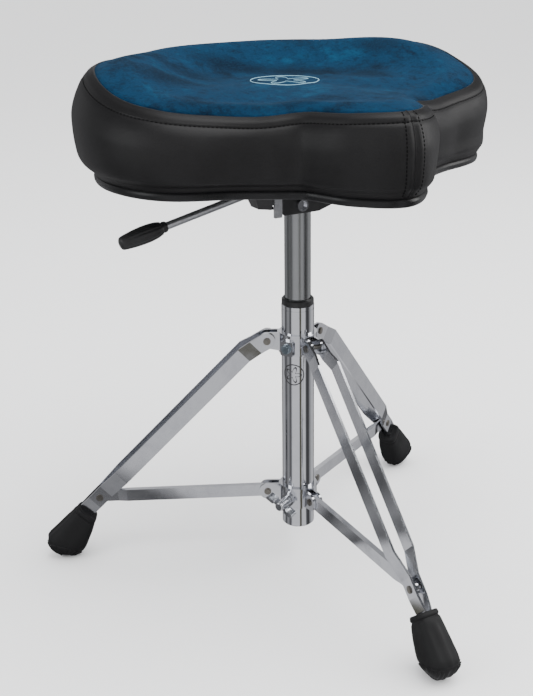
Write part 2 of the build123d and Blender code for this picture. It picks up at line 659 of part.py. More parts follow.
with BuildPart() as lever_plate:
    with BuildSketch(Plane.XY.offset(429.2)):
        with Locations((-22.0, 0.0)):
            RectangleRounded(52.0, 13.0, 3.0)
        with Locations((-40.5, LEV_Y / 2)):
            RectangleRounded(15.0, 26.0, 2.0)
    extrude(amount=3.0)
    with BuildSketch(rod_plane.offset(-6.0)):
        Circle(6.0)
    extrude(amount=16.0)
    with BuildSketch(rod_plane):
        Circle(3.9)
    extrude(amount=30.0, mode=Mode.SUBTRACT)
    with BuildSketch(Plane.XZ.offset(8.0)):
        with Locations((LEV_PX, LEV_PZ)):
            Circle(4.6)
    extrude(amount=-16.0)
    with BuildSketch(Plane.XZ.offset(30.0)):
        with Locations((LEV_PX, LEV_PZ)):
            Circle(2.95)
    extrude(amount=-60.0, mode=Mode.SUBTRACT)
lever_plate.part.label = "lever_plate"
export_step(lever_plate.part, "parts/lever_plate.step")

with BuildPart() as lever_pin:
    with BuildSketch(Plane.XZ.offset(CH_Y + 1.6)):
        with Locations((LEV_PX, LEV_PZ)):
            Circle(2.9)
    extrude(amount=-2 * CH_Y - 3.2)
    for y, d in ((CH_Y + 0.3, 1.3), (-CH_Y - 0.3, -1.3)):
        with BuildSketch(Plane.XZ.offset(y)):
            with Locations((LEV_PX, LEV_PZ)):
                Circle(4.2)
        extrude(amount=d)
lever_pin.part.label = "lever_pin"
export_step(lever_pin.part, "parts/lever_pin.step")

with BuildPart() as lever_rod:
    with BuildSketch(rod_plane):
        Circle(3.9)
    extrude(amount=LLEN - GRIP_LEN + 30.0)
lever_rod.part.label = "lever_rod"
export_step(lever_rod.part, "parts/lever_rod.step")

with BuildPart() as lever_grip:
    with BuildSketch(Plane(origin=LEV_A, x_dir=(ldx, 0, ldz), z_dir=(0, -1, 0))):
        g0 = LLEN - GRIP_LEN
        with BuildLine():
            Polyline((g0, 0), (g0, 5.4), (g0 + 1.5, 6.6), (g0 + 6, 8.0), (g0 + 16, 8.6), (g0 + 28, 8.2), (g0 + 40, 7.0),
                     (g0 + 46.5, 5.8), (g0 + 48.5, 4.4), (g0 + 49, 0), close=True)
        make_face()
    revolve(axis=Axis(origin=LEV_A, direction=(ldx, 0, ldz)))
    with BuildSketch(rod_plane):
        Circle(3.9)
    extrude(amount=LLEN - GRIP_LEN + 30.0, mode=Mode.SUBTRACT)
lever_grip.part.label = "lever_grip"
export_step(lever_grip.part, "parts/lever_grip.step")

# the tab and the skirt keep a clear window round the lever
with BuildPart() as lever_guard_tab:
    with BuildSketch(Plane.XZ.offset(CH_Y)):
        with Locations((-35.4, 420.0)):
            RectangleRounded(8.8, 39.0, 0.8)
    extrude(amount=-2.5)
    with BuildSketch(Plane.XZ.offset(CH_Y)):
        with Locations((-35.4, 435.0)):
            Rectangle(8.8, 9.0)
    extrude(amount=2.5)
lever_guard_tab.part.label = "lever_guard_tab"
export_step(lever_guard_tab.part, "parts/lever_guard_tab.step")
export_step(plate_skirt.part, "parts/plate_skirt.step")

# ===========================================================================
# Saddle seat
# ===========================================================================
BOLTS = ((-60, -42), (60, -42), (60, 42), (-60, 42))
with BuildPart() as seat_board:
    with BuildSketch(Plane.XY.offset(BOARD_Z0)):
        with BuildLine():
            Spline(*saddle_points(-9.0), periodic=True)
        make_face()
        with Locations(*BOLTS):
            Circle(4.6, mode=Mode.SUBTRACT)
    extrude(amount=BOARD_T)
seat_board.part.label = "seat_board"
export_step(seat_board.part, "parts/seat_board.step")

with BuildPart() as dust_cover:
    with BuildSketch(Plane.XY.offset(PLATE_Z + 2.5)):
        with BuildLine():
            Spline(*saddle_points(-9.0), periodic=True)
        make_face()
        with Locations(*BOLTS):
            Circle(3.2, mode=Mode.SUBTRACT)
    extrude(amount=BOARD_Z0 - PLATE_Z - 2.5)
dust_cover.part.label = "dust_cover"
export_step(dust_cover.part, "parts/dust_cover.step")

with BuildPart() as t_nuts:
    for x, y in BOLTS:
        with BuildSketch(Plane.XY.offset(BOARD_Z0)):
            with Locations((x, y)):
                Circle(4.6)
                Circle(3.0, mode=Mode.SUBTRACT)
        extrude(amount=BOARD_T)
        with BuildSketch(Plane.XY.offset(BOARD_Z0 + BOARD_T)):
            with Locations((x, y)):
                Circle(10.0)
                Circle(3.0, mode=Mode.SUBTRACT)
        extrude(amount=1.5)
t_nuts.part.label = "t_nuts"
export_step(t_nuts.part, "parts/t_nuts.step")

with BuildPart() as plate_bolts:
    for x, y in BOLTS:
        with BuildSketch(Plane.XY.offset(PLATE_Z - 1.4)):
            with Locations((x, y)):
                Circle(3.0)
        extrude(amount=BOARD_Z0 + BOARD_T + 1.0 - PLATE_Z + 1.4)
        with BuildSketch(Plane.XY.offset(PLATE_Z - 5.4)):
            with Locations((x, y)):
                RegularPolygon(5.77, 6)
        extrude(amount=4.0)
plate_bolts.part.label = "plate_bolts"
export_step(plate_bolts.part, "parts/plate_bolts.step")

with BuildPart() as plate_washers:
    with BuildSketch(Plane.XY.offset(PLATE_Z - 1.4)):
        with Locations(*BOLTS):
            Circle(7.0)
            Circle(3.0, mode=Mode.SUBTRACT)
    extrude(amount=1.4)
plate_washers.part.label = "plate_washers"
export_step(plate_washers.part, "parts/plate_washers.step")


def crown_plane(drop=0.0):
    t = rad(TOP_TILT)
    return Plane(origin=(0, 0, TOP_Z - drop), x_dir=(1, 0, 0), z_dir=(0, -math.sin(t), math.cos(t)))


# outer envelope of the padded seat above the board
with BuildPart() as envelope:
    for z, grow, bul in ((BOARD_Z0 + 0.5, -0.5, 0.0), (462.0, 0.0, 0.62), (492.0, 0.0, 1.0), (512.0, -2.0, 0.55)):
        with BuildSketch(Plane.XY.offset(z)):
            with BuildLine():
                Spline(*saddle_points(grow, bul), periodic=True)
            make_face()
    with BuildSketch(crown_plane()):
        with BuildLine():
            Spline(*saddle_points(-4.6), periodic=True)
        make_face()
    loft(ruled=True)

with BuildPart() as core_space:
    for z, grow, bul in ((BOARD_Z0 + BOARD_T, -3.0, 0.3), (470.0, -3.0, 0.8), (494.0, -3.0, 1.0), (512.0, -5.0, 0.55)):
        with BuildSketch(Plane.XY.offset(z)):
            with BuildLine():
                Spline(*saddle_points(grow, bul), periodic=True)
            make_face()
    with BuildSketch(crown_plane(3.0)):
        with BuildLine():
            Spline(*saddle_points(-8.0), periodic=True)
        make_face()
    loft(ruled=True)

with BuildPart() as seat_foam:
    add(core_space.part)
    with Locations((0, 12, DISH_Z - 3.0 + DISH_R)):
        Sphere(DISH_R, mode=Mode.SUBTRACT)
    with BuildSketch(Plane.XY.offset(BOARD_Z0 + BOARD_T - 1)):
        with Locations(*BOLTS):
            Circle(10.2)
    extrude(amount=2.6, mode=Mode.SUBTRACT)
seat_foam.part.label = "seat_foam"
export_step(seat_foam.part, "parts/seat_foam.step")

with BuildPart() as seat_side_cover:
    add(envelope.part)
    add(core_space.part, mode=Mode.SUBTRACT)
    with BuildSketch(Plane.XY.offset(BOARD_Z0 - 2)):
        with BuildLine():
            Spline(*saddle_points(-8.9), periodic=True)
        make_face()
    extrude(amount=150.0, mode=Mode.SUBTRACT)
    with BuildSketch(Plane.XY.offset(BOARD_Z0 - 2)):
        with BuildLine():
            Spline(*saddle_points(30.0), periodic=True)
        make_face()
    extrude(amount=11.0, mode=Mode.SUBTRACT)
seat_side_cover.part.label = "seat_side_cover"
export_step(seat_side_cover.part, "parts/seat_side_cover.step")

with BuildPart() as seat_top_panel:
    add(envelope.part)
    with Locations((0, 12, DISH_Z + DISH_R)):
        Sphere(DISH_R, mode=Mode.SUBTRACT)
    add(seat_foam.part, mode=Mode.SUBTRACT)
    with BuildSketch(Plane.XY.offset(440.0)):
        with BuildLine():
            Spline(*saddle_points(40.0), periodic=True)
        make_face()
        with BuildLine():
            Spline(*saddle_points(-9.2), periodic=True)
        make_face(mode=Mode.SUBTRACT)
    extrude(amount=150.0, mode=Mode.SUBTRACT)
    with BuildSketch(Plane.XY.offset(440.0)):
        with BuildLine():
            Spline(*saddle_points(-2.0), periodic=True)
        make_face()
    extrude(amount=60.0, mode=Mode.SUBTRACT)
seat_top_panel.part.label = "seat_top_panel"

# welt cord round the board's lower edge
with BuildPart() as seat_welt:
    with BuildSketch(Plane.XY.offset(BOARD_Z0 - 0.5)):
        with BuildLine():
            Spline(*saddle_points(0.0), periodic=True)
        make_face()
        with BuildLine():
            Spline(*saddle_points(-8.6), periodic=True)
        make_face(mode=Mode.SUBTRACT)
    extrude(amount=9.3)
seat_welt.part.label = "seat_welt"
export_step(seat_welt.part, "parts/seat_welt.step")

print("brace length", round(math.hypot(P1R - CR, P1Z - CZ), 2), "leg", round(L1, 2))
export_step(seat_top_panel.part, "parts/seat_top_panel.step")
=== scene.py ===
import math
import random

import bmesh
import bpy
import numpy as np
from mathutils import Matrix, Vector


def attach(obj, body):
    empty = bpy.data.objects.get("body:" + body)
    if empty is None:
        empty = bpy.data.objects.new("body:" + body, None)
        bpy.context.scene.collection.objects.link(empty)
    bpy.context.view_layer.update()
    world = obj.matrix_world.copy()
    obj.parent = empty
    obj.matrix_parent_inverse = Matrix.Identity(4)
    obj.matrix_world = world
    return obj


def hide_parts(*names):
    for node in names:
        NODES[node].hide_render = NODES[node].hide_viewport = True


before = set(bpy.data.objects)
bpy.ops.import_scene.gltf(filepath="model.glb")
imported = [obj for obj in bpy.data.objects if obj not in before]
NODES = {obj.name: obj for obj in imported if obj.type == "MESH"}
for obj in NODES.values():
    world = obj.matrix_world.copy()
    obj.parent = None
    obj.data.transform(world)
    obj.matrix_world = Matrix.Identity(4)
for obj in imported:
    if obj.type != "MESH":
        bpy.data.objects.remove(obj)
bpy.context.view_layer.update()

random.seed(7)
MM = 0.001
LEG_AZ = {"front": -90.0, "left": 150.0, "right": 30.0}


# --------------------------------------------------------------------------
# camera, light, floor
# --------------------------------------------------------------------------
BANDS = [(0.0, 0.22), (0.03, 0.12), (0.050, 0.92), (0.075, 1.0), (0.188, 1.0), (0.203, 0.13), (0.224, 0.12), (0.240, 0.92), (0.305, 0.95), (0.330, 0.12),
         (0.380, 0.08), (0.42, 0.40), (0.47, 0.75), (0.54, 0.75), (0.58, 0.18), (0.62, 0.12), (0.66, 1.0), (0.70, 0.92), (0.74, 0.16), (0.78, 0.42),
         (0.83, 0.66), (0.87, 0.55), (0.905, 0.09), (0.94, 0.28), (0.97, 0.42), (1.0, 0.22)]


def make_camera():
    data = bpy.data.cameras.new("main_camera")
    cam = bpy.data.objects.new("main_camera", data)
    bpy.context.scene.collection.objects.link(cam)
    p, yaw, roll = math.radians(17.26), math.radians(59.61), math.radians(-0.16)
    fwd = Vector((math.cos(p) * math.cos(yaw), math.cos(p) * math.sin(yaw), -math.sin(p)))
    right = Vector((math.sin(yaw), -math.cos(yaw), 0.0))
    up = right.cross(fwd)
    r2 = right * math.cos(roll) + up * math.sin(roll)
    u2 = up * math.cos(roll) - right * math.sin(roll)
    m = Matrix((r2, u2, -fwd)).transposed().to_4x4()
    m.translation = Vector((-0.5923, -1.0098, 0.6934))
    cam.matrix_world = m
    data.sensor_fit = "AUTO"
    data.sensor_width = 36.0
    data.lens = 1167.01 * 36.0 / 696.0
    data.shift_x = (266.5 - 297.55) / 696.0
    data.shift_y = (274.49 - 348.0) / 696.0
    data.clip_start, data.clip_end = 0.05, 100.0
    bpy.context.scene.camera = cam
    return cam


def area_light(name, loc, target, size, power, color=(1, 1, 1), size_y=None):
    d = bpy.data.lights.new(name, "AREA")
    d.energy = power
    d.color = color
    d.shape = "RECTANGLE"
    d.size = size
    d.size_y = size_y or size
    o = bpy.data.objects.new(name, d)
    bpy.context.scene.collection.objects.link(o)
    o.location = loc
    o.rotation_mode = "QUATERNION"
    o.rotation_quaternion = (Vector(target) - Vector(loc)).to_track_quat("-Z", "Y")
    return o


def make_world():
    w = bpy.data.worlds.new("studio")
    bpy.context.scene.world = w
    w.use_nodes = True
    nt = w.node_tree
    nt.nodes.clear()
    out = nt.nodes.new("ShaderNodeOutputWorld")
    tc = nt.nodes.new("ShaderNodeTexCoord")
    grad = nt.nodes.new("ShaderNodeTexGradient")
    grad.gradient_type = "RADIAL"
    nt.links.new(tc.outputs["Generated"], grad.inputs["Vector"])
    ramp = nt.nodes.new("ShaderNodeValToRGB")
    cr = ramp.color_ramp
    cr.interpolation = "EASE"
    stops = BANDS
    while len(cr.elements) < len(stops):
        cr.elements.new(0.5)
    for e, (pos, v) in zip(cr.elements, stops):
        e.position = pos
        e.color = (v * 1.02, v * 0.97, v * 0.72, 1) if 0.20 < pos < 0.23 else (v, v, v * 1.02, 1)
    nt.links.new(grad.outputs["Fac"], ramp.inputs["Fac"])
    # brighter overhead, calmer below the horizon
    sep = nt.nodes.new("ShaderNodeSeparateXYZ")
    nt.links.new(tc.outputs["Generated"], sep.inputs[0])
    zr = nt.nodes.new("ShaderNodeValToRGB")
    ze = zr.color_ramp
    ze.elements[0].position, ze.elements[0].color = 0.30, (0, 0, 0, 1)
    ze.elements[1].position, ze.elements[1].color = 0.75, (1, 1, 1, 1)
    nt.links.new(sep.outputs["Z"], zr.inputs["Fac"])
    mix = nt.nodes.new("ShaderNodeMix")
    mix.data_type = "RGBA"
    nt.links.new(zr.outputs["Color"], mix.inputs["Factor"])
    nt.links.new(ramp.outputs["Color"], mix.inputs[6])
    mix.inputs[7].default_value = (0.10, 0.105, 0.115, 1)
    bg = nt.nodes.new("ShaderNodeBackground")
    bg.inputs["Strength"].default_value = 1.0
    nt.links.new(mix.outputs[2], bg.inputs["Color"])
    plain = nt.nodes.new("ShaderNodeBackground")
    plain.inputs["Color"].default_value = (0.93, 0.935, 0.94, 1)
    plain.inputs["Strength"].default_value = 1.75
    lp = nt.nodes.new("ShaderNodeLightPath")
    inv = nt.nodes.new("ShaderNodeMath")
    inv.operation = "SUBTRACT"
    inv.inputs[0].default_value = 1.0
    nt.links.new(lp.outputs["Is Glossy Ray"], inv.inputs[1])
    ms = nt.nodes.new("ShaderNodeMixShader")
    nt.links.new(inv.outputs[0], ms.inputs[0])
    nt.links.new(bg.outputs[0], ms.inputs[1])
    nt.links.new(plain.outputs[0], ms.inputs[2])
    nt.links.new(ms.outputs[0], out.inputs["Surface"])


def make_floor():
    me = bpy.data.meshes.new("floor")
    s = 14.0
    me.from_pydata([(-s, -s, 0), (s, -s, 0), (s, s, 0), (-s, s, 0)], [], [(0, 1, 2, 3)])
    o = bpy.data.objects.new("floor", me)
    o.location = (0, 0, -0.0004)
    bpy.context.scene.collection.objects.link(o)
    m = bpy.data.materials.new("floor_pale")
    m.use_nodes = True
    nt = m.node_tree
    b = nt.nodes["Principled BSDF"]
    b.inputs["Base Color"].default_value = (0.94, 0.94, 0.945, 1)
    b.inputs["Roughness"].default_value = 0.9
    b.inputs["Specular IOR Level"].default_value = 0.05
    # painted reflection: for glossy rays only the floor glows in dark and bright wedges round the origin, as a
    # studio with dark flags round the floor would look in polished metal
    tc = nt.nodes.new("ShaderNodeTexCoord")
    grad = nt.nodes.new("ShaderNodeTexGradient")
    grad.gradient_type = "RADIAL"
    nt.links.new(tc.outputs["Object"], grad.inputs["Vector"])
    ramp = nt.nodes.new("ShaderNodeValToRGB")
    cr = ramp.color_ramp
    cr.interpolation = "EASE"
    while len(cr.elements) < len(BANDS):
        cr.elements.new(0.5)
    for e, (pos, v) in zip(cr.elements, BANDS):
        e.position = pos
        e.color = (v * 1.02, v * 0.97, v * 0.72, 1) if 0.20 < pos < 0.23 else (v, v, v * 1.03, 1)
    nt.links.new(grad.outputs["Fac"], ramp.inputs["Fac"])
    em = nt.nodes.new("ShaderNodeEmission")
    em.inputs["Strength"].default_value = 0.80
    nt.links.new(ramp.outputs["Color"], em.inputs["Color"])
    lp = nt.nodes.new("ShaderNodeLightPath")
    mx = nt.nodes.new("ShaderNodeMixShader")
    nt.links.new(lp.outputs["Is Glossy Ray"], mx.inputs[0])
    nt.links.new(b.outputs[0], mx.inputs[1])
    nt.links.new(em.outputs[0], mx.inputs[2])
    nt.links.new(mx.outputs[0], nt.nodes["Material Output"].inputs["Surface"])
    me.materials.append(m)
    return o


make_camera()
make_world()
make_floor()
area_light("key_top", (0.4, -0.5, 2.6), (0, 0, 0.4), 2.4, 70, (1, 1, 1))
area_light("fill_right", (1.9, -0.9, 1.1), (0, 0, 0.4), 1.2, 26, (1, 0.995, 0.99), 1.6)
area_light("fill_left", (-2.2, 0.1, 1.0), (0, 0, 0.35), 0.9, 14, (0.97, 0.99, 1.0), 1.5)


# --------------------------------------------------------------------------
# materials
# --------------------------------------------------------------------------
class Mat:
    def __init__(self, name):
        self.m = bpy.data.materials.new(name)
        self.m.use_nodes = True
        self.nt = self.m.node_tree
        self.b = self.nt.nodes["Principled BSDF"]
        self.tc = self.nt.nodes.new("ShaderNodeTexCoord")

    def n(self, kind, **kw):
        node = self.nt.nodes.new(kind)
        for k, v in kw.items():
            setattr(node, k, v)
        return node

    def link(self, a, b):
        self.nt.links.new(a, b)

    def noise(self, scale, detail=3.0, rough=0.55, vec=None, dims="3D"):
        t = self.n("ShaderNodeTexNoise")
        t.inputs["Scale"].default_value = scale
        t.inputs["Detail"].default_value = detail
        t.inputs["Roughness"].default_value = rough
        self.link(vec or self.tc.outputs["Object"], t.inputs["Vector"])
        return t.outputs["Fac"]

    def voronoi(self, scale, feature="F1", vec=None, out="Distance"):
        t = self.n("ShaderNodeTexVoronoi", feature=feature)
        t.inputs["Scale"].default_value = scale
        self.link(vec or self.tc.outputs["Object"], t.inputs["Vector"])
        return t.outputs[out]

    def stretch(self, sx, sy, sz):
        mp = self.n("ShaderNodeMapping")
        mp.inputs["Scale"].default_value = (sx, sy, sz)
        self.link(self.tc.outputs["Object"], mp.inputs["Vector"])
        return mp.outputs["Vector"]

    def ramp(self, fac, stops, interp="LINEAR"):
        r = self.n("ShaderNodeValToRGB")
        cr = r.color_ramp
        cr.interpolation = interp
        while len(cr.elements) < len(stops):
            cr.elements.new(0.5)
        for e, (p, c) in zip(cr.elements, stops):
            e.position = p
            e.color = (*c, 1) if len(c) == 3 else c
        self.link(fac, r.inputs["Fac"])
        return r.outputs["Color"]

    def span(self, fac, lo, hi, a=0.0, b=1.0):
        r = self.n("ShaderNodeMapRange")
        r.inputs["From Min"].default_value = lo
        r.inputs["From Max"].default_value = hi
        r.inputs["To Min"].default_value = a
        r.inputs["To Max"].default_value = b
        self.link(fac, r.inputs["Value"])
        return r.outputs["Result"]

    def math(self, op, a, b):
        r = self.n("ShaderNodeMath", operation=op)
        for i, v in enumerate((a, b)):
            if isinstance(v, (int, float)):
                r.inputs[i].default_value = v
            else:
                self.link(v, r.inputs[i])
        return r.outputs[0]

    def mixc(self, fac, a, b, mode="MIX"):
        r = self.n("ShaderNodeMix", data_type="RGBA", blend_type=mode)
        if isinstance(fac, (int, float)):
            r.inputs["Factor"].default_value = fac
        else:
            self.link(fac, r.inputs["Factor"])
        for i, v in ((6, a), (7, b)):
            if isinstance(v, tuple):
                r.inputs[i].default_value = (*v, 1) if len(v) == 3 else v
            else:
                self.link(v, r.inputs[i])
        return r.outputs[2]

    def bump(self, height, strength, dist, after=None):
        r = self.n("ShaderNodeBump")
        r.inputs["Strength"].default_value = strength
        r.inputs["Distance"].default_value = dist
        self.link(height, r.inputs["Height"])
        if after is not None:
            self.link(after, r.inputs["Normal"])
        return r.outputs["Normal"]

    def set(self, **kw):
        for k, v in kw.items():
            key = {"color": "Base Color", "rough": "Roughness", "metal": "Metallic", "normal": "Normal", "spec": "Specular IOR Level",
                   "sheen": "Sheen Weight", "sheen_rough": "Sheen Roughness", "sheen_tint": "Sheen Tint", "coat": "Coat Weight",
                   "coat_rough": "Coat Roughness", "aniso": "Anisotropic", "ior": "IOR"}[k]
            sock = self.b.inputs[key]
            if isinstance(v, bpy.types.NodeSocket):
                self.link(v, sock)
            elif isinstance(v, tuple):
                sock.default_value = (*v, 1) if len(v) == 3 else v
            else:
                sock.default_value = v
        return self


def edge_wear(k, size=0.0009):
    """0..1 along convex edges, from ray-traced bevel normals against the true normal."""
    bev = k.n("ShaderNodeBevel")
    bev.inputs["Radius"].default_value = size
    geo = k.n("ShaderNodeNewGeometry")
    dot = k.n("ShaderNodeVectorMath", operation="DOT_PRODUCT")
    k.link(bev.outputs["Normal"], dot.inputs[0])
    k.link(geo.outputs["Normal"], dot.inputs[1])
    return k.span(dot.outputs["Value"], 0.99, 0.8)


def mat_chrome(name, haze=0.35, base=(0.80, 0.81, 0.83), rough=(0.05, 0.16), wave=0.25):
    k = Mat(name)
    cloud = k.noise(38.0, 4.0, 0.6)
    fine = k.noise(620.0, 3.0, 0.6)
    mask = k.span(cloud, 0.42, 0.68)
    col = k.mixc(k.math("MULTIPLY", mask, haze), base, (base[0] * 0.80, base[1] * 0.80, base[2] * 0.815))
    specks = k.span(k.noise(210.0, 2.0, 0.5), 0.70, 0.76)
    col = k.mixc(k.math("MULTIPLY", specks, 0.25), col, (0.50, 0.49, 0.48))
    r = k.span(k.math("ADD", k.math("MULTIPLY", cloud, 0.7), k.math("MULTIPLY", fine, 0.3)), 0.35, 0.7, rough[0], rough[1])
    nrm = k.bump(k.noise(22.0, 2.0, 0.5), wave, 0.0006)
    nrm = k.bump(fine, 0.04, 0.0002, nrm)
    return k.set(color=col, metal=1.0, rough=r, normal=nrm)


def mat_steel(name, base=(0.36, 0.37, 0.38), rough=(0.24, 0.38), axis="Z", streak=900.0, aniso=0.4, depth=0.16):
    k = Mat(name)
    sc = {"Z": (1.0, 1.0, 0.03), "ring": (0.05, 0.05, 1.0), "X": (0.03, 1, 1)}[axis]
    vec = k.stretch(*sc)
    lines = k.noise(streak, 4.0, 0.7, vec)
    cloud = k.noise(30.0, 3.0, 0.6)
    col = k.mixc(k.span(lines, 0.35, 0.7), tuple(c * (1 - depth) for c in base), tuple(min(1, c * (1 + 0.75 * depth)) for c in base))
    col = k.mixc(k.math("MULTIPLY", k.span(cloud, 0.45, 0.7), 0.3), col, tuple(c * 0.8 for c in base))
    r = k.span(lines, 0.3, 0.75, rough[0], rough[1])
    return k.set(color=col, metal=1.0, rough=r, normal=k.bump(lines, 0.6 * depth, 0.0001), aniso=aniso)


def mat_zinc(name, base=(0.55, 0.56, 0.58)):
    k = Mat(name)
    cells = k.voronoi(320.0)
    cloud = k.noise(60.0, 4.0, 0.6)
    col = k.mixc(k.span(cells, 0.1, 0.6), base, tuple(c * 0.82 for c in base))
    col = k.mixc(k.math("MULTIPLY", k.span(cloud, 0.5, 0.75), 0.4), col, (0.35, 0.36, 0.37))
    return k.set(color=col, metal=1.0, rough=k.span(cloud, 0.3, 0.7, 0.24, 0.42), normal=k.bump(k.noise(500.0), 0.08, 0.0002))


def mat_paint(name, base=(0.005, 0.005, 0.0055), edge=(0.06, 0.06, 0.063)):
    k = Mat(name)
    orange = k.noise(750.0, 2.0, 0.5)
    cloud = k.noise(45.0, 4.0, 0.6)
    col = k.mixc(k.span(cloud, 0.4, 0.75), base, tuple(c * 1.7 + 0.004 for c in base))
    col = k.mixc(k.math("MULTIPLY", edge_wear(k, 0.0006), 0.55), col, edge)
    return k.set(color=col, rough=k.span(cloud, 0.3, 0.7, 0.30, 0.46), normal=k.bump(orange, 0.18, 0.0004), spec=0.5)


def mat_plastic(name, base=(0.005, 0.005, 0.0055), rough=(0.34, 0.5), grain=1500.0, depth=0.12):
    k = Mat(name)
    g = k.noise(grain, 3.0, 0.6)
    cloud = k.noise(55.0, 3.0, 0.6)
    col = k.mixc(k.span(cloud, 0.35, 0.75), base, tuple(c * 1.8 + 0.003 for c in base))
    return k.set(color=col, rough=k.span(cloud, 0.3, 0.7, rough[0], rough[1]), normal=k.bump(g, depth, 0.0003), spec=0.5)


def mat_rubber(name, base=(0.0060, 0.0060, 0.0066)):
    k = Mat(name)
    g = k.noise(900.0, 4.0, 0.65)
    dust = k.noise(34.0, 5.0, 0.65)
    up = k.n("ShaderNodeNewGeometry")
    sep = k.n("ShaderNodeSeparateXYZ")
    k.link(up.outputs["Normal"], sep.inputs[0])
    shelf = k.math("MULTIPLY", k.span(sep.outputs["Z"], 0.1, 0.95), k.span(dust, 0.42, 0.72))
    col = k.mixc(k.math("MULTIPLY", shelf, 0.30), base, (0.022, 0.022, 0.024))
    col = k.mixc(k.math("MULTIPLY", edge_wear(k, 0.001), 0.35), col, (0.022, 0.022, 0.024))
    return k.set(color=col, rough=k.span(dust, 0.3, 0.7, 0.52, 0.74), normal=k.bump(g, 0.25, 0.0003), spec=0.25)


def mat_vinyl(name, base=(0.0084, 0.0083, 0.0090), rough=(0.33, 0.43), grain=0.16):
    k = Mat(name)
    pebbles = k.voronoi(820.0, "SMOOTH_F1")
    creases = k.voronoi(470.0, "DISTANCE_TO_EDGE")
    fine = k.noise(2600.0, 3.0, 0.6)
    cloud = k.noise(11.0, 4.0, 0.6)
    col = k.mixc(k.span(cloud, 0.35, 0.72), base, tuple(c * 1.5 + 0.0015 for c in base))
    # painted shade: the colour darkens along the grain's crease lines, where the bump dips
    col = k.mixc(k.math("MULTIPLY", k.span(creases, 0.05, 0.0), 0.5), col, tuple(c * 0.45 for c in base))
    h = k.math("ADD", k.math("MULTIPLY", pebbles, 0.5), k.math("MULTIPLY", k.span(creases, 0.0, 0.12), 0.5))
    nrm = k.bump(h, grain, 0.00035)
    nrm = k.bump(fine, 0.06, 0.00015, nrm)
    soft = k.noise(26.0, 3.0, 0.5)
    nrm = k.bump(soft, 0.12, 0.0012, nrm)
    r = k.span(k.math("ADD", k.math("MULTIPLY", cloud, 0.6), k.math("MULTIPLY", fine, 0.4)), 0.32, 0.68, rough[0], rough[1])
    return k.set(color=col, rough=r, normal=nrm, spec=0.25)


def mat_velour(name, shade_patches):
    """Velour: short blue pile with random mottling; painted shade: darker strokes laid where the top's slopes look
    shaded.
    """
    k = Mat(name)
    deep, mid, light = (0.0012, 0.0050, 0.0135), (0.0029, 0.0195, 0.0475), (0.0052, 0.0370, 0.0790)
    big = k.noise(9.0, 5.0, 0.62)
    med = k.noise(34.0, 5.0, 0.65)
    streak = k.noise(70.0, 4.0, 0.65, k.stretch(1.0, 0.35, 1.0))
    pile = k.noise(1500.0, 3.0, 0.7)
    tuft = k.noise(420.0, 4.0, 0.7)
    mix = k.math("ADD", k.math("MULTIPLY", big, 0.38), k.math("ADD", k.math("MULTIPLY", med, 0.36), k.math("MULTIPLY", streak, 0.26)))
    col = k.ramp(mix, [(0.40, deep), (0.485, mid), (0.53, mid), (0.61, light)], "LINEAR")
    spots = k.noise(150.0, 4.0, 0.7)
    col = k.mixc(k.math("MULTIPLY", k.span(spots, 0.50, 0.36), 0.55), col, deep)
    # painted shade: darker strokes where the top's slopes look shaded, placed in the object's own coordinates
    painted_shade = None
    for (cx, cy, rx, ry, rot, amt) in shade_patches:
        mp = k.n("ShaderNodeMapping")
        mp.vector_type = "TEXTURE"
        mp.inputs["Location"].default_value = (cx * MM, cy * MM, 0.54)
        mp.inputs["Rotation"].default_value = (0, 0, math.radians(rot))
        mp.inputs["Scale"].default_value = (rx * MM, ry * MM, 1.0)
        wob = k.n("ShaderNodeVectorMath", operation="ADD")
        nz = k.n("ShaderNodeTexNoise")
        nz.inputs["Scale"].default_value = 26.0
        nz.inputs["Detail"].default_value = 4.0
        k.link(k.tc.outputs["Object"], nz.inputs["Vector"])
        sc = k.n("ShaderNodeVectorMath", operation="SCALE")
        sc.inputs["Scale"].default_value = 0.030
        sb = k.n("ShaderNodeVectorMath", operation="SUBTRACT")
        sb.inputs[1].default_value = (0.5, 0.5, 0.5)
        k.link(nz.outputs["Color"], sb.inputs[0])
        k.link(sb.outputs["Vector"], sc.inputs[0])
        k.link(k.tc.outputs["Object"], wob.inputs[0])
        k.link(sc.outputs["Vector"], wob.inputs[1])
        k.link(wob.outputs["Vector"], mp.inputs["Vector"])
        ln = k.n("ShaderNodeVectorMath", operation="LENGTH")
        k.link(mp.outputs["Vector"], ln.inputs[0])
        f = k.span(ln.outputs["Value"], 1.1, 0.35, 0.0, amt)
        painted_shade = f if painted_shade is None else k.math("MAXIMUM", painted_shade, f)
    if painted_shade is not None:
        painted_shade = k.math("MULTIPLY", painted_shade, k.span(med, 0.30, 0.55, 0.55, 1.0))
        col = k.mixc(painted_shade, col, deep)
    col = k.mixc(k.math("MULTIPLY", k.span(tuft, 0.45, 0.70), 0.35), col, light)
    col = k.mixc(k.math("MULTIPLY", k.span(pile, 0.50, 0.75), 0.25), col, (0.014, 0.066, 0.115))
    h = k.math("ADD", k.math("MULTIPLY", pile, 0.55), k.math("MULTIPLY", tuft, 0.45))
    nrm = k.bump(h, 0.45, 0.0006)
    nrm = k.bump(med, 0.30, 0.0012, nrm)
    return k.set(color=col, rough=0.92, normal=nrm, sheen=0.03, sheen_rough=0.45, sheen_tint=(0.20, 0.50, 0.75), spec=0.05)


def mat_thread(name, base=(0.010, 0.010, 0.011)):
    k = Mat(name)
    tw = k.n("ShaderNodeTexWave")
    tw.inputs["Scale"].default_value = 900.0
    tw.inputs["Distortion"].default_value = 2.0
    k.link(k.tc.outputs["Object"], tw.inputs["Vector"])
    col = k.mixc(tw.outputs["Fac"], tuple(c * 0.6 for c in base), tuple(c * 1.6 for c in base))
    return k.set(color=col, rough=0.8, normal=k.bump(tw.outputs["Fac"], 0.4, 0.0002), spec=0.12)


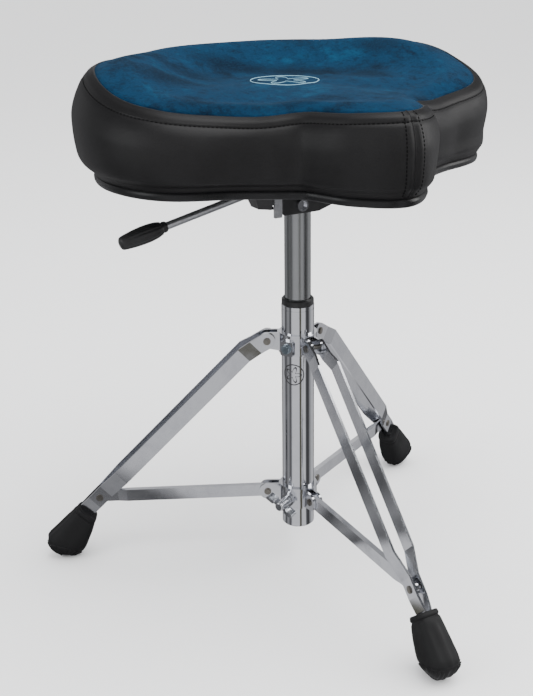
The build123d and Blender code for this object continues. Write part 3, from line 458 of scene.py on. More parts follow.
def mat_wood(name):
    k = Mat(name)
    v = k.stretch(4.0, 60.0, 60.0)
    g = k.noise(8.0, 6.0, 0.7, v)
    ply = k.n("ShaderNodeTexWave", bands_direction="Z")
    ply.inputs["Scale"].default_value = 260.0
    k.link(k.tc.outputs["Object"], ply.inputs["Vector"])
    col = k.ramp(g, [(0.3, (0.30, 0.19, 0.10)), (0.6, (0.46, 0.32, 0.18)), (0.8, (0.56, 0.41, 0.25))])
    col = k.mixc(k.math("MULTIPLY", ply.outputs["Fac"], 0.4), col, (0.25, 0.15, 0.08))
    return k.set(color=col, rough=0.7, normal=k.bump(g, 0.2, 0.0004))


def mat_lining(name):
    k = Mat(name)
    w1 = k.noise(700.0, 3.0, 0.7)
    w2 = k.noise(60.0, 4.0, 0.6)
    dots = k.voronoi(380.0)
    col = k.mixc(k.span(w1, 0.4, 0.7), (0.010, 0.010, 0.011), (0.030, 0.030, 0.031))
    col = k.mixc(k.math("MULTIPLY", k.span(dots, 0.30, 0.12), 0.5), col, (0.006, 0.006, 0.006))
    return k.set(color=col, rough=k.span(w2, 0.3, 0.7, 0.82, 0.95), normal=k.bump(dots, 0.35, 0.0004), sheen=0.15, spec=0.2)


def mat_foam(name):
    k = Mat(name)
    c = k.voronoi(700.0)
    col = k.mixc(k.span(c, 0.1, 0.5), (0.45, 0.40, 0.24), (0.66, 0.60, 0.40))
    return k.set(color=col, rough=0.95, normal=k.bump(c, 0.5, 0.0006))


# painted shade on the velour top: centre x, y and radii in mm, turn in degrees, strength of each shaded stroke
SHADE_PATCHES = [(-125, 25, 40, 30, -30, 0.95), (-85, 62, 36, 20, -30, 0.75), (-15, 95, 56, 24, -32, 0.95), (45, 60, 64, 24, -35, 0.98), (85, 5, 36, 22, -55, 0.75),
           (-60, -92, 70, 18, -22, 0.55), (30, -105, 36, 16, -10, 0.5), (140, 60, 34, 24, -50, 0.7), (60, 150, 60, 16, -20, 0.6), (-150, -60, 30, 30, 0, 0.35), (-20, 165, 90, 18, 4, 0.55)]
M = {
    "tube": mat_chrome("chrome_tube", 0.30, (0.72, 0.73, 0.76), (0.045, 0.12), 0.10),
    "chrome": mat_chrome("chrome_strip", 0.45, (0.66, 0.67, 0.70), (0.10, 0.24), 0.30),
    "chrome_small": mat_chrome("chrome_cast", 0.35, (0.68, 0.69, 0.72), (0.07, 0.18), 0.55),
    "cyl": mat_steel("lift_steel", (0.33, 0.338, 0.342), (0.22, 0.28), "Z", 900.0, 0.5, 0.04),
    "bearing": mat_steel("bearing_steel", (0.48, 0.48, 0.49), (0.18, 0.30), "ring", 700.0, 0.2),
    "rivet": mat_zinc("rivet_zinc", (0.24, 0.225, 0.20)),
    "zinc": mat_zinc("zinc_plate"),
    "paint": mat_paint("mechanism_paint"),
    "plastic": mat_plastic("bush_plastic"),
    "grip": mat_plastic("grip_plastic", (0.0045, 0.0045, 0.005), (0.36, 0.52), 1100.0, 0.2),
    "buffer": mat_rubber("buffer_rubber", (0.02, 0.02, 0.02)),
    "rubber": mat_rubber("foot_rubber"),
    "wood": mat_wood("board_ply"),
    "lining": mat_lining("dust_lining"),
    "foam": mat_foam("foam_core"),
    "vinyl": mat_vinyl("cover_vinyl", (0.0042, 0.0040, 0.0044), (0.42, 0.52)),
    "welt": mat_vinyl("welt_vinyl", (0.0055, 0.0055, 0.006), (0.24, 0.34), 0.12),
    "velour": mat_velour("top_velour", SHADE_PATCHES),
    "thread": mat_thread("cover_thread", (0.0022, 0.0022, 0.0024)),
    "screw": mat_zinc("screw_zinc", (0.30, 0.36, 0.41)),
    "mark_thread": mat_thread("mark_thread", (0.20, 0.36, 0.44)),
    "ink": mat_plastic("mark_ink", (0.012, 0.012, 0.013), (0.4, 0.6), 900.0, 0.05),
}
ASSIGN = {
    "column_tube": "tube", "guide_bush": "plastic", "base_plug": "zinc", "leg_hub": "chrome_small", "hub_clamp_screw": "screw",
    "piston_rod": "bearing", "piston": "plastic", "thrust_washers": "bearing", "thrust_balls": "bearing", "bump_stop": "buffer", "rod_clip": "bearing",
    "gas_cylinder": "cyl", "rod_guide": "bearing", "cylinder_socket": "paint", "mechanism_channel": "paint", "channel_bolt": "chrome_small",
    "lever_guard_tab": "zinc", "lever_pin": "bearing", "seat_plate": "paint", "plate_skirt": "paint", "plate_bolts": "zinc", "plate_washers": "zinc",
    "t_nuts": "zinc", "seat_board": "wood", "dust_cover": "lining", "seat_foam": "foam", "seat_side_cover": "vinyl", "seat_top_panel": "velour",
    "seat_welt": "welt", "lever_plate": "paint", "lever_rod": "zinc", "lever_grip": "grip", "valve_button": "plastic", "brace_collar": "chrome_small",
    "collar_rivets": "rivet", "wing_bolt": "chrome_small",
}
for leg in LEG_AZ:
    for s in "ab":
        ASSIGN["leg_strip_%s_%s" % (leg, s)] = "chrome"
    ASSIGN["brace_" + leg] = "chrome"
    ASSIGN["pivot_rivet_" + leg] = "rivet"
    ASSIGN["brace_rivet_" + leg] = "rivet"
    ASSIGN["rubber_foot_" + leg] = "rubber"
BEVEL = {"chrome": 0.45, "chrome_small": 0.6, "rivet": 0.35, "zinc": 0.3, "paint": 0.4, "bearing": 0.0, "plastic": 0.0, "tube": 0.0, "cyl": 0.0}
for name, obj in NODES.items():
    key = ASSIGN[name]
    obj.data.materials.clear()
    obj.data.materials.append(M[key].m)
    w = BEVEL.get(key, 0.0)
    if w and name not in ("lever_rod", "seat_plate"):
        b = obj.modifiers.new("edges", "BEVEL")
        b.width = w * MM
        b.segments = 2
        b.limit_method = "ANGLE"
        b.angle_limit = math.radians(35)
        b.harden_normals = False
        b.use_clamp_overlap = True


# --------------------------------------------------------------------------
# mesh helpers
# --------------------------------------------------------------------------
def new_object(name, verts, faces, mat, body, smooth=True):
    me = bpy.data.meshes.new(name)
    me.from_pydata([tuple(v) for v in verts], [], faces)
    me.validate()
    me.update()
    if smooth:
        me.polygons.foreach_set("use_smooth", [True] * len(me.polygons))
    o = bpy.data.objects.new(name, me)
    bpy.context.scene.collection.objects.link(o)
    me.materials.append(M[mat].m)
    if body:
        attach(o, body)
    return o


def grid_faces(rows, cols, wrap_rows=False, wrap_cols=False, base=0, flip=False):
    f = []
    for i in range(rows if wrap_rows else rows - 1):
        for j in range(cols if wrap_cols else cols - 1):
            a = base + i * cols + j
            b = base + i * cols + (j + 1) % cols
            c = base + ((i + 1) % rows) * cols + (j + 1) % cols
            d = base + ((i + 1) % rows) * cols + j
            f.append((a, d, c, b) if flip else (a, b, c, d))
    return f


def hermite(xs, ys, x):
    """Even, smooth interpolation with flat ends (periodic mirror)."""
    x = np.abs((np.asarray(x, float) + 180.0) % 360.0 - 180.0)
    xs, ys = np.asarray(xs, float), np.asarray(ys, float)
    n = len(xs)
    m = np.zeros(n)
    for i in range(1, n - 1):
        h0, h1 = xs[i] - xs[i - 1], xs[i + 1] - xs[i]
        d0, d1 = (ys[i] - ys[i - 1]) / h0, (ys[i + 1] - ys[i]) / h1
        m[i] = (d0 * h1 + d1 * h0) / (h0 + h1)
    i = np.clip(np.searchsorted(xs, x, side="right") - 1, 0, n - 2)
    h = xs[i + 1] - xs[i]
    t = (x - xs[i]) / h
    return ((2 * t**3 - 3 * t**2 + 1) * ys[i] + (t**3 - 2 * t**2 + t) * h * m[i]
            + (-2 * t**3 + 3 * t**2) * ys[i + 1] + (t**3 - t**2) * h * m[i + 1])


def smooth01(t):
    t = np.clip(t, 0.0, 1.0)
    return t * t * (3 - 2 * t)


# --------------------------------------------------------------------------
# saddle seat
# --------------------------------------------------------------------------
CY = -5.0
OUT_A = [0, 14, 28, 42, 56, 72, 90, 110, 135, 160, 180]
OUT_R = [189.2, 167.7, 134.4, 135.3, 147.9, 185.6, 204.3, 206.7, 195.6, 190.8, 186.5]
EDGE_A = [0, 25, 50, 80, 110, 145, 180]
EDGE_Z = [528.3, 523.9, 518.3, 528.4, 550.2, 551.7, 551.7]
BUL_A = [0, 14, 28, 42, 56, 72, 90, 110, 180]
BUL = [11.0, 12.0, 13.0, 13.0, 14.5, 17.0, 18.5, 19.0, 19.0]


def outline(th):
    return hermite(OUT_A, OUT_R, th)


def edge_z(th):
    t = (np.asarray(th, float) + 180.0) % 360.0 - 180.0
    return hermite(EDGE_A, EDGE_Z, th) + 4.5 * np.exp(-((t - 98) / 28) ** 2) - 1.5 * np.exp(-((t + 115) / 35) ** 2)


def bulge(th):
    return hermite(BUL_A, BUL, th)


# even arc-length angles round the welt
_a = np.linspace(0, 360, 2881)
_r = outline(_a)
_p = np.stack([_r * np.sin(np.radians(_a)), CY - _r * np.cos(np.radians(_a))], 1)
_s = np.concatenate([[0], np.cumsum(np.linalg.norm(np.diff(_p, axis=0), axis=1))])
PERIM = _s[-1]


def theta_at(arc):
    return np.interp(np.mod(arc, PERIM), _s, _a)


def outline_frame(th):
    """Point on the welt outline and its outward unit normal, in plan (mm)."""
    e = 0.25
    def pt(t):
        r = outline(t)
        return np.stack([r * np.sin(np.radians(t)), CY - r * np.cos(np.radians(t))], -1)
    p = pt(th)
    d = pt(th + e) - pt(th - e)
    # smooth the normal a little so that the concave waists stay round
    nrm = np.stack([-d[..., 1], d[..., 0]], -1)
    nrm = -nrm / np.linalg.norm(nrm, axis=-1, keepdims=True)
    return p, nrm


NT = 480
ARC = np.arange(NT) * PERIM / NT
TH = theta_at(ARC)
P, NRM = outline_frame(TH)
# outward normal check
if np.mean(np.sum(NRM * (P - np.array([0, CY])), 1)) < 0:
    NRM = -NRM
for _ in range(6):
    NRM = (np.roll(NRM, 1, 0) + 2 * NRM + np.roll(NRM, -1, 0)) / 4
    NRM /= np.linalg.norm(NRM, axis=1, keepdims=True)
ZE, BU = edge_z(TH), bulge(TH)
# the right lobe of the skin stands a little steeper than the left
RIGHT = np.exp(-((TH - 76) / 27) ** 2)
NOSE_R = np.exp(-((TH - 30) / 15) ** 2)
P = P + NRM * (4.5 * RIGHT)[:, None]


def catmull(pts, n):
    """Points along a centripetal-like spline through control points (k, ..., 2)."""
    pts = np.asarray(pts)
    k = pts.shape[0]
    out = []
    for u in np.linspace(0, k - 1, n):
        i = min(int(u), k - 2)
        t = u - i
        p0 = pts[max(i - 1, 0)]
        p1, p2 = pts[i], pts[i + 1]
        p3 = pts[min(i + 2, k - 1)]
        out.append(0.5 * ((2 * p1) + (-p0 + p2) * t + (2 * p0 - 5 * p1 + 4 * p2 - p3) * t * t + (-p0 + 3 * p1 - 3 * p2 + p3) * t**3))
    return np.array(out)


def side_controls():
    """Vinyl side, from the welt's top groove up and over the shoulder to the panel seam: (offset, z) per angle."""
    zl = 451.5
    H = ZE - zl
    ones = np.ones(NT)
    rows = [
        (-3.0 * ones, zl - 2.0 * ones),
        (-0.6 * ones, zl + 0.6 * ones),
        (3.2 * ones, zl + 5.0 * ones),
        (0.62 * BU + 2.2, zl + 0.15 * H),
        (0.88 * BU + 1.0, zl + 0.31 * H),
        (0.985 * BU + 0.2, zl + 0.48 * H),
        (0.97 * BU, zl + 0.62 * H),
        (0.76 * BU, zl + 0.765 * H),
        (0.36 * BU + 1.2, ZE - 9.6),
        (0.10 * BU + 1.0, ZE - 5.4),
        (-2.4 * ones, ZE - 1.2),
        (-5.2 * ones, ZE - 0.35),
        (-7.0 * ones, ZE - 2.2),
    ]
    for k, d in ((2, -0.8), (3, -6.5), (4, -9.5), (5, -8.5), (6, -7.0), (7, -4.5), (8, -1.5)):
        rows[k] = (rows[k][0] + d * RIGHT, rows[k][1])
    # and the right of the nose tucks in above the welt
    for k, d in ((2, -2.2), (3, -8.0), (4, -7.5), (5, -4.5), (6, -2.2), (7, -0.8)):
        rows[k] = (rows[k][0] + d * NOSE_R, rows[k][1])
    return np.array([[o, z] for o, z in rows])        # (k, 2, NT)


NV = 61
SC = side_controls().transpose(0, 2, 1)               # (k, NT, 2)
SIDE = catmull(SC, NV)                                # (NV, NT, 2)
# the stitch line pulls the vinyl in, and the roll above it stays puffed
vv = np.linspace(0, SC.shape[0] - 1, NV)[:, None]
SIDE[..., 0] -= 1.35 * np.exp(-((vv - 8.15) / 0.17) ** 2)
SIDE[..., 0] += 0.9 * np.exp(-((vv - 9.2) / 0.45) ** 2)
SIDE[..., 1] += 0.6 * np.exp(-((vv - 9.4) / 0.45) ** 2)
# nose seam: a sewn valley with a slight pucker either side
sgn = (ARC + PERIM / 2) % PERIM - PERIM / 2
ramp_v = smooth01((vv - 1.0) / 1.5) * smooth01((12.0 - vv) / 1.2)
SIDE[..., 0] -= ramp_v * (1.5 * np.exp(-(sgn / 1.9) ** 2) - 0.45 * np.exp(-((np.abs(sgn) - 4.0) / 2.2) ** 2) + 0.35 * np.exp(-((np.abs(sgn) - 7.0) / 1.1) ** 2))[None, :]
# soft, uneven stretch of the skin between board and shoulder
wv = (0.55 * np.sin(ARC / PERIM * 2 * np.pi * 9 + 1.1) + 0.45 * np.sin(ARC / PERIM * 2 * np.pi * 17 + 0.4) + 0.3 * np.sin(ARC / PERIM * 2 * np.pi * 31 + 2.2))
SIDE[..., 0] += 0.42 * wv[None, :] * smooth01((vv - 1.2) / 2.5) * smooth01((7.6 - vv) / 2.0)


def place(off, z):
    xy = P + NRM * off[:, None]
    return np.stack([xy[:, 0], xy[:, 1], z], 1) * MM


def crown(x, y):
    """Height of the seat's top over a plan point, in mm."""
    x, y = np.asarray(x, float), np.asarray(y, float)
    th = np.degrees(np.arctan2(x, -(y - CY)))
    r = np.hypot(x, y - CY)
    t = np.clip(r / (outline(th) - 5.0), 0, 1.02)
    ze = edge_z(th)
    a = np.abs((th + 180) % 360 - 180)
    k = smooth01((a - 62) / 50.0)
    wf = np.clip(t, 0, 1) ** 1.7
    wr = smooth01((t - 0.40) / 0.50)
    w = wf * (1 - k) + wr * k
    zc = 530.6 - 0.010 * (y - 0.0)
    z = zc * (1 - w) + ze * w
    # padded fullness inside the seam
    z += (4.2 * k + 3.2 * (1 - k)) * np.exp(-((t - 0.86) / 0.10) ** 2) * smooth01((1.0 - t) / 0.05)
    z += 2.2 * k * np.exp(-((t - 0.72) / 0.12) ** 2)
    return z


def soften(img, n):
    for _ in range(n):
        img = (img + np.roll(img, 1, 1) + np.roll(img, -1, 1)) / 3
        img[1:-1] = (img[:-2] + 2 * img[1:-1] + img[2:]) / 4
    return img


NR = 72


def top_rings(drop, shrink=0.0):
    """Rings from the seam to the centre, (NR, NT, 3) in metres."""
    cen = np.array([0.0, CY + 6.0])
    base = P - NRM * (6.2 + shrink)
    rings = []
    for i in range(NR):
        s = (i / (NR - 1))
        q = base * (1 - s) + cen * s
        rings.append(np.stack([q[:, 0], q[:, 1], crown(q[:, 0], q[:, 1]) - drop], 1))
    rings = np.array(rings)
    z = soften(rings[..., 2].copy(), 3)
    edge = np.exp(-(np.arange(NR) / 2.2))[:, None]
    rings[..., 2] = z * (1 - edge) + (rings[0, :, 2][None, :]) * edge
    rings[-1, :, 2] = rings[-1, :, 2].mean()
    return rings * MM


def build_cushion():
    rows = [place(SIDE[i, :, 0], SIDE[i, :, 1]) for i in range(NV)]
    under = top_rings(3.4, 1.2)[1:]
    bottom = []
    for off, z in ((-6.0, 448.2), (-9.2, 447.2), (-9.2, 443.3)):
        bottom.append(place(np.full(NT, off), np.full(NT, z)))
    allrows = bottom[::-1] + rows + [r for r in under]
    n = len(allrows)
    verts = np.concatenate(allrows)
    faces = grid_faces(n, NT, wrap_cols=True)
    # close the centre of the top and the underside
    top0 = (n - 1) * NT
    c_top = len(verts)
    c_bot = c_top + 1
    verts = np.concatenate([verts, [verts[top0:top0 + NT].mean(0)], [[0, CY * MM, 0.4433]]])
    for j in range(NT):
        faces.append((top0 + j, top0 + (j + 1) % NT, c_top))
        faces.append(((j + 1) % NT, j, c_bot))
    o = new_object("seat_cushion", verts, faces, "vinyl", "seat")
    return o


cushion = build_cushion()


def build_velour():
    outer = top_rings(0.0)
    # roll the rim down into the seam
    rim_rows = []
    for off, dz in ((6.9, -3.4), (6.0, -2.0), (5.7, -0.7)):
        rim_rows.append(place(np.full(NT, -off), ZE + dz))
    inner = top_rings(2.4, 1.4)
    rows = rim_rows + [outer[i] for i in range(2, NR)]
    n1 = len(rows)
    low = [inner[i] for i in range(NR - 1, 1, -1)]
    verts = np.concatenate(rows + low)
    faces = grid_faces(n1, NT, wrap_cols=True)
    k = len(rows) * NT
    n2 = len(low)
    faces += grid_faces(n2, NT, wrap_cols=True, base=k)
    # join the underside's outer ring to the rim
    last = k + (n2 - 1) * NT
    for j in range(NT):
        a, b = j, (j + 1) % NT
        faces.append((last + j, last + b, b, a))
    # close the two centres
    ct, cb = len(verts), len(verts) + 1
    top_last = (n1 - 1) * NT
    verts = np.concatenate([verts, [verts[top_last:top_last + NT].mean(0)], [verts[k:k + NT].mean(0)]])
    for j in range(NT):
        faces.append((top_last + j, top_last + (j + 1) % NT, ct))
        faces.append((k + (j + 1) % NT, k + j, cb))
    return new_object("seat_velour_panel", verts, faces, "velour", "seat")


velour = build_velour()


def fix_normals(o):
    bm = bmesh.new()
    bm.from_mesh(o.data)
    bmesh.ops.remove_doubles(bm, verts=bm.verts, dist=1e-6)
    bmesh.ops.recalc_face_normals(bm, faces=bm.faces)
    bm.to_mesh(o.data)
    bm.free()
    o.data.update()


fix_normals(cushion)
fix_normals(velour)
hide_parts("seat_side_cover", "seat_foam")
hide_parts("seat_top_panel")

# welt: a covered cord all round the lower edge
def build_welt():
    prof = []
    for k in range(20):
        a = 2 * math.pi * k / 20
        c, s = math.cos(a), math.sin(a)
        prof.append((-3.9 + 3.9 * np.sign(c) * abs(c) ** 0.85, 447.0 + 4.4 * np.sign(s) * abs(s) ** 0.85))
    rows = [place(np.full(NT, o), np.full(NT, z)) for o, z in prof]
    verts = np.concatenate(rows)
    faces = grid_faces(len(rows), NT, wrap_rows=True, wrap_cols=True)
    o = new_object("seat_welt_cord", verts, faces, "welt", "seat")
    fix_normals(o)
    return o


welt = build_welt()
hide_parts("seat_welt")


# stitches --------------------------------------------------------------
def surface_at(arc, v):
    """Point and outward normal of the vinyl side at an arc length and a profile position (control index)."""
    th = theta_at(arc)
    j = (arc % PERIM) / PERIM * NT
    j0 = int(j) % NT
    j1 = (j0 + 1) % NT
    f = j - int(j)
    i = v / (SC.shape[0] - 1) * (NV - 1)
    i0 = int(i)
    g = i - i0
    def pt(ii, jj):
        return place_one(SIDE[ii, jj], jj)
    a = pt(i0, j0) * (1 - f) + pt(i0, j1) * f
    b = pt(i0 + 1, j0) * (1 - f) + pt(i0 + 1, j1) * f
    p = a * (1 - g) + b * g
    up = (b - a)
    tan = pt(i0, (j1 + 1) % NT) - pt(i0, (j0 - 1) % NT)
    n = np.cross(tan, up)
    n /= np.linalg.norm(n)
    if n[0] * NRM[j0, 0] + n[1] * NRM[j0, 1] + 0.3 * n[2] < 0:
        n = -n
    return p, n, tan / np.linalg.norm(tan), up / np.linalg.norm(up)


def place_one(oz, j):
    xy = P[j] + NRM[j] * oz[0]
    return np.array([xy[0], xy[1], oz[1]]) * MM


def capsule(p, d, n, length, rad, flat=0.6):
    """Small flattened capsule: verts and faces, along d, lying on normal n."""
    s = np.cross(n, d)
    s /= np.linalg.norm(s)
    verts, faces = [], []
    stations = [(-0.5, 0.25), (-0.40, 0.75), (-0.2, 1.0), (0.2, 1.0), (0.40, 0.75), (0.5, 0.25)]
    for u, k in stations:
        for q in range(6):
            a = 2 * math.pi * q / 6
            lift = math.cos(u * math.pi) * rad * 0.5
            verts.append(p + d * (u * length) + s * (math.cos(a) * rad * k) + n * (math.sin(a) * rad * k * flat + lift * 0.6))
    for i in range(len(stations) - 1):
        for q in range(6):
            a, b = i * 6 + q, i * 6 + (q + 1) % 6
            faces.append((a, b, b + 6, a + 6))
    faces.append(tuple(range(5, -1, -1)))
    faces.append(tuple(range(len(verts) - 6, len(verts))))
    return verts, faces


def stitches(name, samples, mat, body, length=2.7, rad=0.58):
    V, F = [], []
    for p, d, n in samples:
        v, f = capsule(p, d, n, length * MM, rad * MM)
        base = len(V)
        V += v
        F += [tuple(base + i for i in q) for q in f]
    o = new_object(name, V, F, mat, body)
    return o


ring = []
step = 4.0
count = int(PERIM / step)
for q in range(count):
    arc = q * PERIM / count
    p, n, t, u = surface_at(arc, 8.15)
    ring.append((p + n * 0.00015, t, n))
st1 = stitches("shoulder_stitching", ring, "thread", "seat")
cols = []
for side in (-6.8, 6.8):
    v = 1.7
    while v < 10.6:
        p, n, t, u = surface_at(side % PERIM, v)
        p2, _, _, _ = surface_at(side % PERIM, v + 0.2)
        speed = np.linalg.norm(p2 - p) / 0.2
        cols.append((p + n * 0.00012, u, n))
        v += 0.0036 / speed
st2 = stitches("nose_stitching", cols, "thread", "seat")

# sewn seam cord lying in the nose valley
def build_seam():
    V, F = [], []
    n, m = 90, 8
    for i in range(n):
        v = 1.2 + (11.2 - 1.2) * i / (n - 1)
        p, nn, t, u = surface_at(0.0001, v)
        for q in range(m):
            a = 2 * math.pi * q / m
            V.append(p + nn * (0.00005 + 0.0005 * math.sin(a)) + t * (0.00055 * math.cos(a)))
    F = grid_faces(n, m, wrap_cols=True)
    F.append(tuple(range(m - 1, -1, -1)))
    F.append(tuple(range((n - 1) * m, n * m)))
    o = new_object("nose_seam_fold", V, F, "vinyl", "seat")
    fix_normals(o)
    return o


seam = build_seam()


# plain round emblem sewn on the top panel: two satin bands and a five-petal rosette
def top_point(x, y, lift):
    return np.array([x, y, crown(x, y) + lift]) * MM


def band(name, loops_in, loops_out, centre, mat, body, lift=0.35, surf=top_point):
    """Closed raised band between two closed plan curves (functions of angle -> radius)."""
    n = 160
    prof = [(0.0, -0.6), (0.0, 0.25), (0.25, 0.8), (0.5, 1.0), (0.75, 0.8), (1.0, 0.25), (1.0, -0.6)]
    rows = []
    for f, h in prof:
        row = []
        for j in range(n):
            a = 2 * math.pi * j / n
            r = loops_in(a) * (1 - f) + loops_out(a) * f
            row.append(surf(centre[0] + r * math.cos(a), centre[1] + r * math.sin(a), lift * h))
        rows.append(row)
    V = [v for r in rows for v in r]
    F = grid_faces(len(prof), n, wrap_rows=True, wrap_cols=True)
    o = new_object(name, V, F, mat, body)
    fix_normals(o)
    return o


EMC = (-7.0, 13.0)
emblem = [
    band("emblem_ring", lambda a: 34.0, lambda a: 34.9, EMC, "mark_thread", "seat", 0.55),
    band("emblem_petals", lambda a: 17.4 + 8.5 * math.cos(5 * a), lambda a: 18.4 + 9.0 * math.cos(5 * a), EMC, "mark_thread", "seat", 0.5),
]


# plain round mark on the column
def on_tube(x, y, lift):
    r = 17.5 + lift
    az = math.radians(-137.0) + x / 17.5
    return np.array([r * math.cos(az), r * math.sin(az), 223.0 + y]) * MM


mark = [
    band("column_mark_ring", lambda a: 10.8, lambda a: 12.0, (0, 0), "ink", "column", 0.07, on_tube),
    band("column_mark_petals", lambda a: 5.2 + 2.6 * math.cos(5 * a), lambda a: 6.6 + 3.0 * math.cos(5 * a), (0, 0), "ink", "column", 0.07, on_tube),
]


# --------------------------------------------------------------------------
# rubber feet
# --------------------------------------------------------------------------
INNER = [(226.2, 46.6), (227.6, 41.8), (229.2, 36.4), (231.6, 29.0), (234.6, 22.0), (239.2, 11.0), (244.8, 4.4), (250.0, 1.2), (254.6, 0.0)]
OUTER = [(243.8, 61.4), (247.4, 58.6), (251.6, 54.9), (261.5, 45.2), (270.0, 36.6), (279.2, 27.2), (281.2, 19.0), (276.6, 8.6), (267.4, 0.0)]
WIDTH = [11.7, 12.2, 12.8, 14.2, 15.4, 16.5, 16.9, 15.8, 12.6]


def lerp_list(lst, u):
    k = u * (len(lst) - 1)
    i = min(int(k), len(lst) - 2)
    t = k - i
    a, b = np.array(lst[i], float), np.array(lst[i + 1], float)
    p0 = np.array(lst[max(i - 1, 0)], float)
    p3 = np.array(lst[min(i + 2, len(lst) - 1)], float)
    return 0.5 * ((2 * a) + (b - p0) * t + (2 * p0 - 5 * a + 4 * b - p3) * t * t + (-p0 + 3 * a - 3 * b + p3) * t**3)


def build_foot(leg, az):
    ca, sa = math.cos(math.radians(az)), math.sin(math.radians(az))
    NU, NVV = 64, 96
    rows = []
    def ring_pts(u, grow=0.0, sink=0.0, ridge=True):
        i, o = lerp_list(INNER, u), lerp_list(OUTER, u)
        w = float(lerp_list(WIDTH, u))
        c = (i + o) / 2
        h = (o - i) / 2
        hl = np.linalg.norm(h)
        d = h / hl
        ax = np.array([d[1], -d[0]])
        pts = []
        for j in range(NVV):
            a = 2 * math.pi * j / NVV
            e = 0.56 if u < 0.3 else 0.56 + 0.16 * min(1.0, (u - 0.3) / 0.4)
            cx = math.copysign(abs(math.cos(a)) ** e, math.cos(a))
            sy = math.copysign(abs(math.sin(a)) ** e, math.sin(a))
            lip = grow
            # soft centre ridge on the outer face, shallow hollows beside it
            rr = 0.0
            if ridge and math.cos(a) > 0:
                x = sy * w
                rr = 1.1 * math.exp(-(x / 2.0) ** 2) * smooth01((u - 0.22) / 0.08) * smooth01((0.80 - u) / 0.15)
                rr -= 0.7 * math.exp(-((abs(x) - 6.2) / 3.0) ** 2) * smooth01((u - 0.24) / 0.1) * smooth01((0.66 - u) / 0.1)
            # tread ribs round the sole's rim
            rib = 0.0
            if 0.73 < u < 0.97:
                rib = 1.7 * smooth01((math.cos(a * 24) + 0.35) / 0.7) * smooth01((u - 0.735) / 0.02) * smooth01((0.975 - u) / 0.02) - 1.3 * smooth01((u - 0.735) / 0.02) * smooth01((0.965 - u) / 0.04)
            q = c + d * (cx * (hl + lip + rr - rib)) + ax * sink
            lat = sy * (w + lip - rib)
            r, z = q
            z = max(z + 0.062 * max(0.0, abs(lat) - 2.5) ** 2 * math.exp(-max(z, 0.0) / 13.0), 0.0)
            pts.append((np.array([r * ca - lat * sa, r * sa + lat * ca, z])) * MM)
        return pts
    # mouth of the boot, rolled collar ring, groove, body
    rows.append(ring_pts(0.0, -6.4, 0.75, False))
    rows.append(ring_pts(0.0, -3.4, 0.7, False))
    rows.append(ring_pts(0.0, -2.4, 0.25, False))
    rows.append(ring_pts(0.0, -1.4, -0.25, False))
    rows.append(ring_pts(0.0, 0.0, -0.1, False))
    for u, g in ((0.012, 0.35), (0.035, 0.5), (0.075, 0.55), (0.105, 0.45), (0.125, 0.1), (0.138, -0.5), (0.150, -0.8), (0.165, -0.8), (0.18, -0.45), (0.20, -0.1)):
        rows.append(ring_pts(u, g, 0.0, False))
    for i in range(NU):
        u = 0.215 + (1.0 - 0.215) * i / (NU - 1)
        g = 0.0
        if 0.70 < u < 0.735:
            g = -0.5 * math.sin((u - 0.70) / 0.035 * math.pi)
        rows.append(ring_pts(u, g))
    V = [v for r in rows for v in r]
    n = len(rows)
    F = grid_faces(n, NVV, wrap_cols=True)
    F.append(tuple(range(NVV - 1, -1, -1)))
    F.append(tuple(range((n - 1) * NVV, n * NVV)))
    o = new_object("boot_" + leg, V, F, "rubber", "leg_" + leg)
    fix_normals(o)
    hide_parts("rubber_foot_" + leg)
    return o


feet = [build_foot(leg, az) for leg, az in LEG_AZ.items()]


# --------------------------------------------------------------------------
# lever grip: tapered, fluted, with a domed end and a plain collar
# --------------------------------------------------------------------------
def build_grip():
    A, T = np.array([-50.0, -12.0, 429.7]), np.array([-200.9, -12.0, 394.7])
    d = (T - A) / np.linalg.norm(T - A)
    s = np.array([0.0, 1.0, 0.0])
    u = np.cross(d, s)
    L = 49.0
    prof = [(0.0, 4.05), (0.0, 4.9), (0.7, 5.4), (3.2, 5.6), (3.9, 5.3), (4.8, 5.4), (5.6, 6.5), (10, 7.8), (15, 8.5), (20, 8.8), (26, 8.8), (32, 8.5), (38, 7.9), (43, 7.3), (46.5, 6.7), (48.2, 5.8), (49.0, 4.2), (49.4, 2.0), (49.5, 0.5)]
    fine = []
    for k in range(len(prof) - 1):
        (a, ra), (b, rb) = prof[k], prof[k + 1]
        m = 1 if b - a < 2 else int((b - a) / 1.2)
        for q in range(m):
            t = q / m
            fine.append((a + (b - a) * t, ra + (rb - ra) * t))
    fine.append(prof[-1])
    N = 96
    V = []
    for x, r in fine:
        fl = smooth01((x - 6.5) / 3.0) * smooth01((45.0 - x) / 4.0)
        for j in range(N):
            a = 2 * math.pi * j / N
            rr = r - 0.55 * fl * max(0.0, math.cos(a * 12)) ** 2
            V.append((T - d * (L - x) + (s * math.cos(a) + u * math.sin(a)) * rr) * MM)
    n = len(fine)
    F = grid_faces(n, N, wrap_cols=True)
    F.append(tuple(range(N - 1, -1, -1)))
    F.append(tuple(range((n - 1) * N, n * N)))
    o = new_object("grip_sleeve", V, F, "grip", "release_lever")
    fix_normals(o)
    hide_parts("lever_grip")
    return o


build_grip()


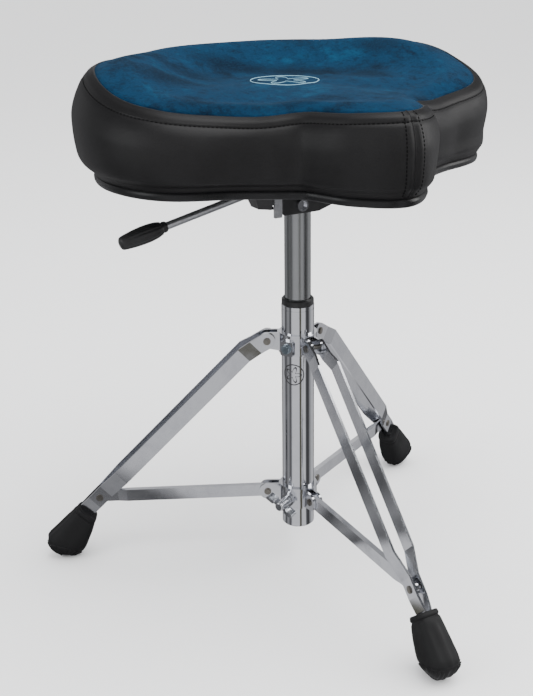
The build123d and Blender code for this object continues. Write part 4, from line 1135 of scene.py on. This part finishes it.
# --------------------------------------------------------------------------
# the padded form is inflated as cloth and every sewn piece follows it
# --------------------------------------------------------------------------
def inflate():
    from mathutils.kdtree import KDTree
    sim = cushion.copy()
    sim.data = cushion.data.copy()
    sim.name = "inflate_tmp"
    for key in list(sim.keys()):
        del sim[key]
    sim.parent = None
    sim.matrix_world = Matrix.Identity(4)
    bpy.context.scene.collection.objects.link(sim)
    rm = sim.modifiers.new("remesh", "REMESH")
    rm.mode = "VOXEL"
    rm.voxel_size = 0.0065
    dg = bpy.context.evaluated_depsgraph_get()
    me = bpy.data.meshes.new_from_object(sim.evaluated_get(dg))
    sim.modifiers.clear()
    sim.data = me
    n = len(me.vertices)
    co = np.empty(n * 3)
    me.vertices.foreach_get("co", co)
    before = co.reshape(-1, 3).copy()
    vg = sim.vertex_groups.new(name="pin")
    vg.add([i for i in range(n) if before[i, 2] < 0.4550], 1.0, "REPLACE")
    cl = sim.modifiers.new("cloth", "CLOTH")
    st = cl.settings
    st.quality = 5
    st.mass = 0.3
    st.tension_stiffness = 12
    st.compression_stiffness = 12
    st.shear_stiffness = 6
    st.bending_stiffness = 1.2
    st.use_pressure = True
    st.uniform_pressure_force = 4.0
    st.vertex_group_mass = "pin"
    st.effector_weights.gravity = 0.0
    cl.collision_settings.use_collision = False
    cl.collision_settings.use_self_collision = False
    sc = bpy.context.scene
    cl.point_cache.frame_start, cl.point_cache.frame_end = 1, 20
    for fr in range(1, 21):
        sc.frame_set(fr)
        dg = bpy.context.evaluated_depsgraph_get()
        sim.evaluated_get(dg)
    ev = sim.evaluated_get(bpy.context.evaluated_depsgraph_get()).to_mesh()
    co = np.empty(n * 3)
    ev.vertices.foreach_get("co", co)
    d = co.reshape(-1, 3) - before
    edges = np.empty(len(me.edges) * 2, dtype=int)
    me.edges.foreach_get("vertices", edges)
    edges = edges.reshape(-1, 2)
    sc.frame_set(1)
    bpy.data.objects.remove(sim)
    deg = np.bincount(edges.ravel(), minlength=n)[:, None]
    for _ in range(24):
        acc = np.zeros_like(d)
        np.add.at(acc, edges[:, 0], d[edges[:, 1]])
        np.add.at(acc, edges[:, 1], d[edges[:, 0]])
        d = 0.5 * d + 0.5 * acc / np.maximum(deg, 1)
    mag = np.linalg.norm(d, axis=1, keepdims=True)
    print("inflate mean %.2f mm, max %.2f mm, verts %d" % (mag.mean() * 1000, mag.max() * 1000, n))
    cap = 0.0015
    d = d * (cap * np.tanh(mag / cap) / np.maximum(mag, 1e-9))
    tree = KDTree(n)
    for i in range(n):
        tree.insert(before[i], i)
    tree.balance()
    return tree, d


def follow(objs, field):
    tree, d = field
    for o in objs:
        me = o.data
        n = len(me.vertices)
        co = np.empty(n * 3)
        me.vertices.foreach_get("co", co)
        co = co.reshape(-1, 3)
        out = co.copy()
        for i in range(n):
            near = tree.find_n(co[i], 5)
            w = np.array([1.0 / (x[2] + 0.002) ** 2 for x in near])
            v = (d[[x[1] for x in near]] * w[:, None]).sum(0) / w.sum()
            fade = min(1.0, max(0.0, (co[i, 2] - 0.4545) / 0.010))
            out[i] = co[i] + v * fade
        me.vertices.foreach_set("co", out.ravel())
        me.update()


follow([cushion, velour, st1, st2, seam] + emblem, inflate())
